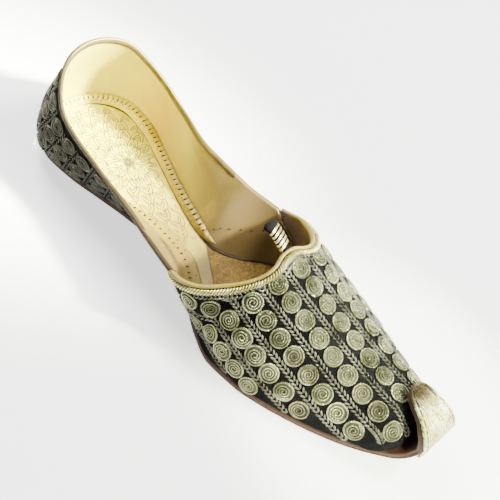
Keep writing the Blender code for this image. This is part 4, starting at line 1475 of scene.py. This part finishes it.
# Painted shade: the sock darkens towards the front, which the vamp shades.
painted_shade_ramp(sock_finish, ((0.32, (1, 1, 1)), (0.62, (0.52, 0.44, 0.5)),
                             (0.86, (0.205, 0.158, 0.34))))
sock = make_piece("sock_printed", [patch(on_sock(share[:, None], across[None, :]))], sock_finish)
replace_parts(thicken(sock, SOCK_THICK - 0.1), "sock")


# Rings of petals: radius, petals.
PETAL_RINGS = ((0.0, 8), (5.2, 8), (11.0, 14), (17.0, 16), (23.2, 22), (29.6, 24), (36.2, 32),
               (43.0, 34), (50.0, 42), (57.2, 46))
PETAL_HIGH, PRINT_WIDE, PRINT_END = 6.6, 0.24, 116


def foil_lines():
    """Middle lines of the print in plan: rings of petals round the flower's middle, each an
    arch over its share of the ring with a smaller arch and a vein inside it."""
    x = np.linspace(-1, 1, 19)
    lines = []

    def drawn(out, angle):
        """Keep a line given by its distance and direction from the flower's middle."""
        lines.append(np.stack([FLOWER_X + out * np.sin(angle), FLOWER_AT + out * np.cos(angle)], -1))

    for number, (radius, petals) in enumerate(PETAL_RINGS):
        angle = 2 * np.pi * (np.arange(petals)[:, None] + 0.5 * (number % 2)) / petals
        high = PETAL_HIGH * (0.75 if number == 0 else 1.0)
        for size in (1.0, 0.62, 0.34):
            swing = angle + size * np.pi / petals * np.sin(np.pi / 2 * x)
            out = radius + high * (1.15 * size * np.cos(np.pi / 2 * x) ** 1.25 + 0.06 / size - 0.06)
            drawn(out, swing)
        drawn(radius + high * (0.95 + 0.2 * x), angle)
    return np.concatenate(lines)


middle = foil_lines()
left, right = sock_sides(np.clip(middle[..., 1], SOCK_INSET + 1.0, SOCK_FRONT), 1.2)
held = ((middle[..., 0] > left) & (middle[..., 0] < right) & (middle[..., 1] > SOCK_INSET + 2)
        & (middle[..., 1] < PRINT_END))
middle = middle[held.all(1)]
ahead = unit(np.gradient(middle, axis=1))
spin = circle(4)
ends = np.sqrt(np.clip(np.minimum(np.arange(19), 18 - np.arange(19)) / 2.0, 0, 1))[None, :, None]
wide = PRINT_WIDE * ends * np.cos(spin)
foil = points(middle[..., :1] - wide * ahead[..., 1:], middle[..., 1:] + wide * ahead[..., :1],
              SOCK_TOP + 0.02 + 0.09 * ends * np.sin(spin))
foil_finish = leather("foil_print", (0.03, 0.025, 0.006), (0.17, 0.14, 0.03), 0.4, 2400.0, 160.0,
                      0.04, 0.2)
make_piece("sock_print", [tubes(foil, 0.2)], foil_finish)

# A dark cord along the sock's edges is a painted shadow of the gap between the sock and the welt.
rim_u = np.linspace(0, 1, 260)
rim_share = np.abs(2 * rim_u - 1) ** 1.6
rim_side = np.where(rim_u < 0.5, 0.0, 1.0)
rim = on_sock(rim_share, rim_side)
rim[:, 2] = SOCK_TOP - 0.35
rim_frame = framed(rim, 0 * rim + (0, 0, 1), 0.6, 3, 2)
gap_shadow_cord = leather("gap_shadow_cord", (0.03, 0.018, 0.01), (0.09, 0.055, 0.03), 0.7, 1500.0, 90.0, 0.05)
trim("sock_edge_shadow", rim_frame, ring(0.0, 0.0, 0.42, 8), pinch(rim_frame[3], 1.0), gap_shadow_cord)
# In front of the sock the lining's foot stands a little off the insole; a dark cord there is a painted
# shadow of that gap.
gap_at = fine(SOCK_FRONT, 116.0, 0.8)
gap_line = points(edge(gap_at, 1.0, 2.7), gap_at, BOARD + 2.05)
gap_frame = framed(gap_line, 0 * gap_line + (0, 0, 1), 0.6, 3, 2)
gap_size = np.clip((gap_frame[3][-1] - gap_frame[3]) / 12, 0.4, 1) * pinch(gap_frame[3], 1.0)
trim("lining_gap_shadow", gap_frame, ring(0.0, 0.0, 0.5, 8), gap_size, gap_shadow_cord)


# ---- insole --------------------------------------------------------------------------
# Rough undyed leather board in front of the sock, flesh side up, scuffed by wear. It is the
# plain shape of the CAD model, since only a strip of it shows.
insole_finish, tree, shader = begin_finish("insole_leather", 0.85)
seen = use_group(tree, grain, Pebble_scale=700.0, Cloud_scale=70.0, Crease_scale=300.0)
spot = place_in(tree)
fibres = node(tree, "TexWave", {"wave_type": "RINGS", "rings_direction": "Z"}, Vector=spot,
              Scale=260.0, Distortion=14.0, Detail=4.0, Detail_Scale=1.6).outputs["Fac"]
tone = ramp(tree, seen["Clouds"], ((0.3, (0.15, 0.09, 0.008)), (0.66, (0.28, 0.17, 0.014))))
rubbed = blend(tree, maths(tree, "MULTIPLY", fibres, 0.6), tone, (0.085, 0.042, 0.012))
rubbed = blend(tree, lacking(tree, seen["Creases"], 0.75), rubbed, (0.05, 0.025, 0.008))
dress(tree, shader, rubbed, None, maths(tree, "MULTIPLY_ADD", fibres, 0.8, seen["Creases"]), 0.25)
frame["nodes"]["insole"].data.materials.clear()
frame["nodes"]["insole"].data.materials.append(insole_finish)


# ---- sole board ----------------------------------------------------------------------
# Two layers of brown buffalo leather stitched flat, cut to the last and burnished at the edge.
# In front the board narrows to a tongue that curls up and back over the toe.
# Outline of the curled part: degrees round the curl, outer side, inner side.
CURL = np.array(((20, -13.3, 25.8), (35, -11.1, 24.7), (50, -9.2, 23.5), (70, -7.4, 21.8),
                 (90, -6.8, 20.4), (115, -7.2, 19.0), (140, -6.4, 18.0), (180, -2.4, 17.0)))
TIP_RUN, TIP_LIFT, TIP_OUTER, TIP_INNER, TIP_POWER, TIP_ROUND = 12.6, 0.8, 3.8, 15.2, 2.4, 0.6
# Edge of the board: how far inside the outline, how deep from the outer face. The seam
# between the layers is a shallow groove.
BOARD_EDGE = ((0.75, 0.0), (0.3, 0.12), (0.08, 0.4), (0.0, 0.85), (0.03, 1.35), (0.28, 1.62),
              (0.3, 1.78), (0.05, 2.0), (0.0, 2.5), (0.1, 2.95), (0.35, 3.28), (0.8, 3.4))


def board_rows(heel, stations, turns, runs, inset=0.0):
    """Rows of the board that lie this far inside its outline: station, height, outer and
    inner side, and slope. The heel's round, the flat, the curl's circle, then the straight
    end, whose width closes by a superellipse."""
    parts = []
    at = np.concatenate([inset + (HEEL_RADIUS - inset) * heel, stations])
    parts.append((at, bed(at), edge(at, -1.0, inset), edge(at, 1.0, inset),
                  np.where(at < HEEL_RADIUS, 0, pitch(at))))
    a = np.radians(turns)
    parts.append((CURL_AT + CURL_R * np.sin(a), CURL_Z - CURL_R * np.cos(a),
                  track(CURL, 1, turns) + inset, track(CURL, 2, turns) - inset, a))
    left = CURL[-1, 1] + (TIP_OUTER - CURL[-1, 1]) * runs
    right = CURL[-1, 2] + (TIP_INNER - CURL[-1, 2]) * runs
    closing = np.maximum((runs - TIP_ROUND) / (1 - TIP_ROUND), 0) ** TIP_POWER
    closing = np.maximum(1 - closing, 0) ** 0.5
    half = np.maximum((right - left) / 2 - inset, 0) * closing
    parts.append((CURL_AT - runs * (TIP_RUN - inset), CURL_Z + CURL_R + TIP_LIFT * runs,
                  (left + right) / 2 - half, (left + right) / 2 + half, np.full(len(runs), np.pi)))
    return [np.concatenate(values) for values in zip(*parts)]


def board_point(rows, share, lift):
    """Point across a row (share 0 outer edge, 1 inner edge), lifted off the outer face."""
    at, z, left, right, slope = (m[:, None] for m in rows)
    share, lift = np.atleast_2d(share), np.asarray(lift, float)
    return points(left + (right - left) * share, at + lift * np.sin(slope), z - lift * np.cos(slope))


heel = np.linspace(0, 1, 22)[:-1] ** 2
stations = fine(HEEL_RADIUS, CURL_AT, 3.0)
turns = np.arange(CURL[0, 0], 180.1, 4.0)
runs = 1 - (1 - np.linspace(0, 1, 20)[1:]) ** 1.8
levels = [board_rows(heel, stations, turns, runs, inset) for inset, _ in BOARD_EDGE]
sides = [np.concatenate([board_point(rows, [[share]], -depth)
                         for rows, (_, depth) in zip(levels, BOARD_EDGE)], 1)
         for share in (0.0, 1.0)]
width = np.linspace(0, 1, 13)
faces = [board_point(levels[n], width, -BOARD_EDGE[n][1]) for n in (0, -1)]
board_finish, tree, shader = begin_finish("sole_leather", 0.65, Specular_IOR_Level=0.25)
seen = use_group(tree, grain, Pebble_scale=1200.0, Cloud_scale=60.0, Crease_scale=240.0)
spot = node(tree, "SeparateXYZ", Vector=node(tree, "UVMap", {"uv_map": "along"}).outputs[0])
layers = ramp(tree, spot.outputs[1], ((0.0, (0.026, 0.011, 0.005)), (0.42, (0.050, 0.021, 0.009)),
                                      (0.47, (0.016, 0.009, 0.004)), (0.56, (0.016, 0.009, 0.004)),
                                      (0.62, (0.062, 0.027, 0.012)), (1.0, (0.028, 0.012, 0.006))))
fibre = node(tree, "TexNoise", Vector=node(tree, "Mapping", Vector=place_in(tree),
                                           Scale=(1, 1, 9)).outputs[0], Scale=420.0, Detail=3.0)
streaks = ramp(tree, fibre.outputs["Fac"], ((0.35, (0.4, 0.4, 0.4)), (0.65, (1, 1, 1))))
streaked = blend(tree, 0.5, layers, streaks, "MULTIPLY")
worn = blend(tree, maths(tree, "MULTIPLY", seen["Clouds"], 0.5), streaked, (0.05, 0.022, 0.010))
dress(tree, shader, worn, maths(tree, "MULTIPLY_ADD", seen["Clouds"], 0.3, 0.38),
      maths(tree, "ADD", seen["Pebbles"], fibre.outputs["Fac"]), 0.08)
depths = 1 / (len(BOARD_EDGE) - 1)
sole = make_piece("sole_board",
                  [patch(sides[0], (0.1, depths)), patch(sides[1], (0.1, depths), flip=True),
                   patch(faces[0], (0.0, 0.0), flip=True), patch(faces[1], (0.0, 0.0))],
                  board_finish)
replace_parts(sole, "outsole")


# ---- gilt cover of the curled toe ----------------------------------------------------
# Gilt leather glued to the outer face of the tongue. It is tooled in ribs that fan out from
# the tip between two plain folded borders, each sewn down with dark thread.
COVER_FROM, COVER_THICK = 72.0, 1.2
RIBS, RIB_DEPTH, BORDER, GROOVE = 13, 0.55, 1.7, 2.5
COVER_STITCH, EDGE_ROUND, TIP_SHADE_RUN = 2.3, 0.7, 13


def cover_relief(aside, share):
    """Height of the tooled face: the border is a rounded bead, then a groove, then ribs of
    half waves whose crests are sharper than their hollows."""
    bead = 0.34 * np.sqrt(np.clip(1 - ((aside - BORDER / 2) / (BORDER / 2)) ** 2, 0, 1))
    ribs = RIB_DEPTH * (np.abs(np.sin(np.pi * RIBS * share)) ** 0.7 - 0.25)
    return np.where(aside < BORDER, bead, np.where(aside < GROOVE, -0.22, ribs))


cover_turns = np.arange(COVER_FROM, 180.1, 1.6)
cover_runs = 1 - (1 - np.linspace(0, 1, 26)[1:]) ** 1.6
nothing = np.zeros(0)
rows = board_rows(nothing, nothing, cover_turns, cover_runs)
share = np.linspace(0, 1, 131)[None, :]
wide = np.maximum(rows[3] - rows[2], 0)[:, None]
aside = np.minimum(share, 1 - share) * wide
tip_near = ((1 - np.concatenate([np.zeros(len(cover_turns)), cover_runs])) * TIP_RUN)[:, None]
relief = cover_relief(np.minimum(aside, tip_near + 0.4), share)
rim_near = np.minimum(aside, tip_near)
rolled = np.sqrt(np.clip(1 - (1 - rim_near / EDGE_ROUND) ** 2, 0, 1))
round_off = COVER_THICK * (1 - np.where(rim_near < EDGE_ROUND, rolled, 1.0))
lift = GAP + COVER_THICK - 0.15 + relief - round_off
lift = np.maximum(lift, GAP)
lift[0] = GAP
top_face = board_point(rows, share, lift)
low_face = board_point(rows, share, GAP + 0 * lift)
cover_finish, tree, shader = begin_finish("gilt_leather", 0.3, 0.75)
seen = use_group(tree, grain, Pebble_scale=1500.0, Cloud_scale=110.0, Crease_scale=260.0)
tone = ramp(tree, seen["Clouds"], ((0.40, (0.72, 0.70, 0.18)), (0.54, (0.95, 0.95, 0.58))))
# Painted shade: the ribs' hollows darken in broken lines.
speck = node(tree, "TexNoise", Vector=place_in(tree), Scale=700.0, Detail=4.0)
broken = maths(tree, "MULTIPLY_ADD", maths(tree, "SUBTRACT", speck.outputs["Fac"], 0.5), 3.0,
               mark_in(tree, "relief"))
hollows = ramp(tree, broken, ((0.0, (0.06, 0.05, 0.02)), (0.42, (1, 1, 1))))
tone = blend(tree, 1.0, tone, hollows, "MULTIPLY")
# Painted shade and reflection: the tip lying on the vamp darkens in streaks, for its shade and the dark
# vamp mirrored in the gilt.
streak = node(tree, "TexNoise", Vector=node(tree, "Mapping", Vector=place_in(tree),
                                            Scale=(1, 0.12, 0.12)).outputs[0], Scale=900.0, Detail=2.0)
streaked_tip_shade = maths(tree, "MULTIPLY_ADD", maths(tree, "SUBTRACT", streak.outputs["Fac"], 0.5), 1.1,
               mark_in(tree, "tip"))
tip_shade = ramp(tree, streaked_tip_shade, ((0.0, (0.022, 0.018, 0.014)), (0.5, (0.09, 0.08, 0.07)),
                               (0.95, (1, 1, 1))))
tone = blend(tree, 1.0, tone, tip_shade, "MULTIPLY")
cracked = blend(tree, lacking(tree, seen["Creases"], 0.35), tone, (0.25, 0.17, 0.08))
dress(tree, shader, cracked, maths(tree, "MULTIPLY_ADD", seen["Clouds"], 0.3, 0.2),
      maths(tree, "MULTIPLY_ADD", seen["Creases"], 0.8, seen["Pebbles"]), 0.06)
deep = past(relief, -0.22, RIB_DEPTH + 0.3).ravel()
cover = make_piece("toe_cover_tooled", [patch(top_face, flip=True), patch(low_face)], cover_finish,
                   marks={"relief": np.concatenate([deep, 0 * deep + 1]),
                          "tip": np.tile(past((tip_near + 0 * aside).ravel(), 0, TIP_SHADE_RUN), 2)})
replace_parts(cover, "toe_cover")

run_at = arc_length(board_point(rows, [[0.5]], GAP)[:, 0])
stitch_run = np.arange(2.0, run_at[-1] - 2.6, COVER_STITCH)
starts, ends, ups = [], [], []
for hand in (0, 1):
    for shift, store in ((0.0, starts), (1.15, ends)):
        pick = [np.interp(stitch_run + shift, run_at, m) for m in rows]
        inset = (BORDER + 0.42) / np.maximum(pick[3] - pick[2], 1.0)
        share = inset if hand == 0 else 1 - inset
        store.append(board_point(pick, share[:, None], GAP + COVER_THICK - 0.28)[:, 0])
    slope = np.interp(stitch_run, run_at, rows[4])
    ups.append(np.stack([0 * slope, np.sin(slope), -np.cos(slope)], -1))
stitches("cover_stitches", *(np.concatenate(m) for m in (starts, ends, ups)), 0.26, brown_thread,
         "gilt_leather")
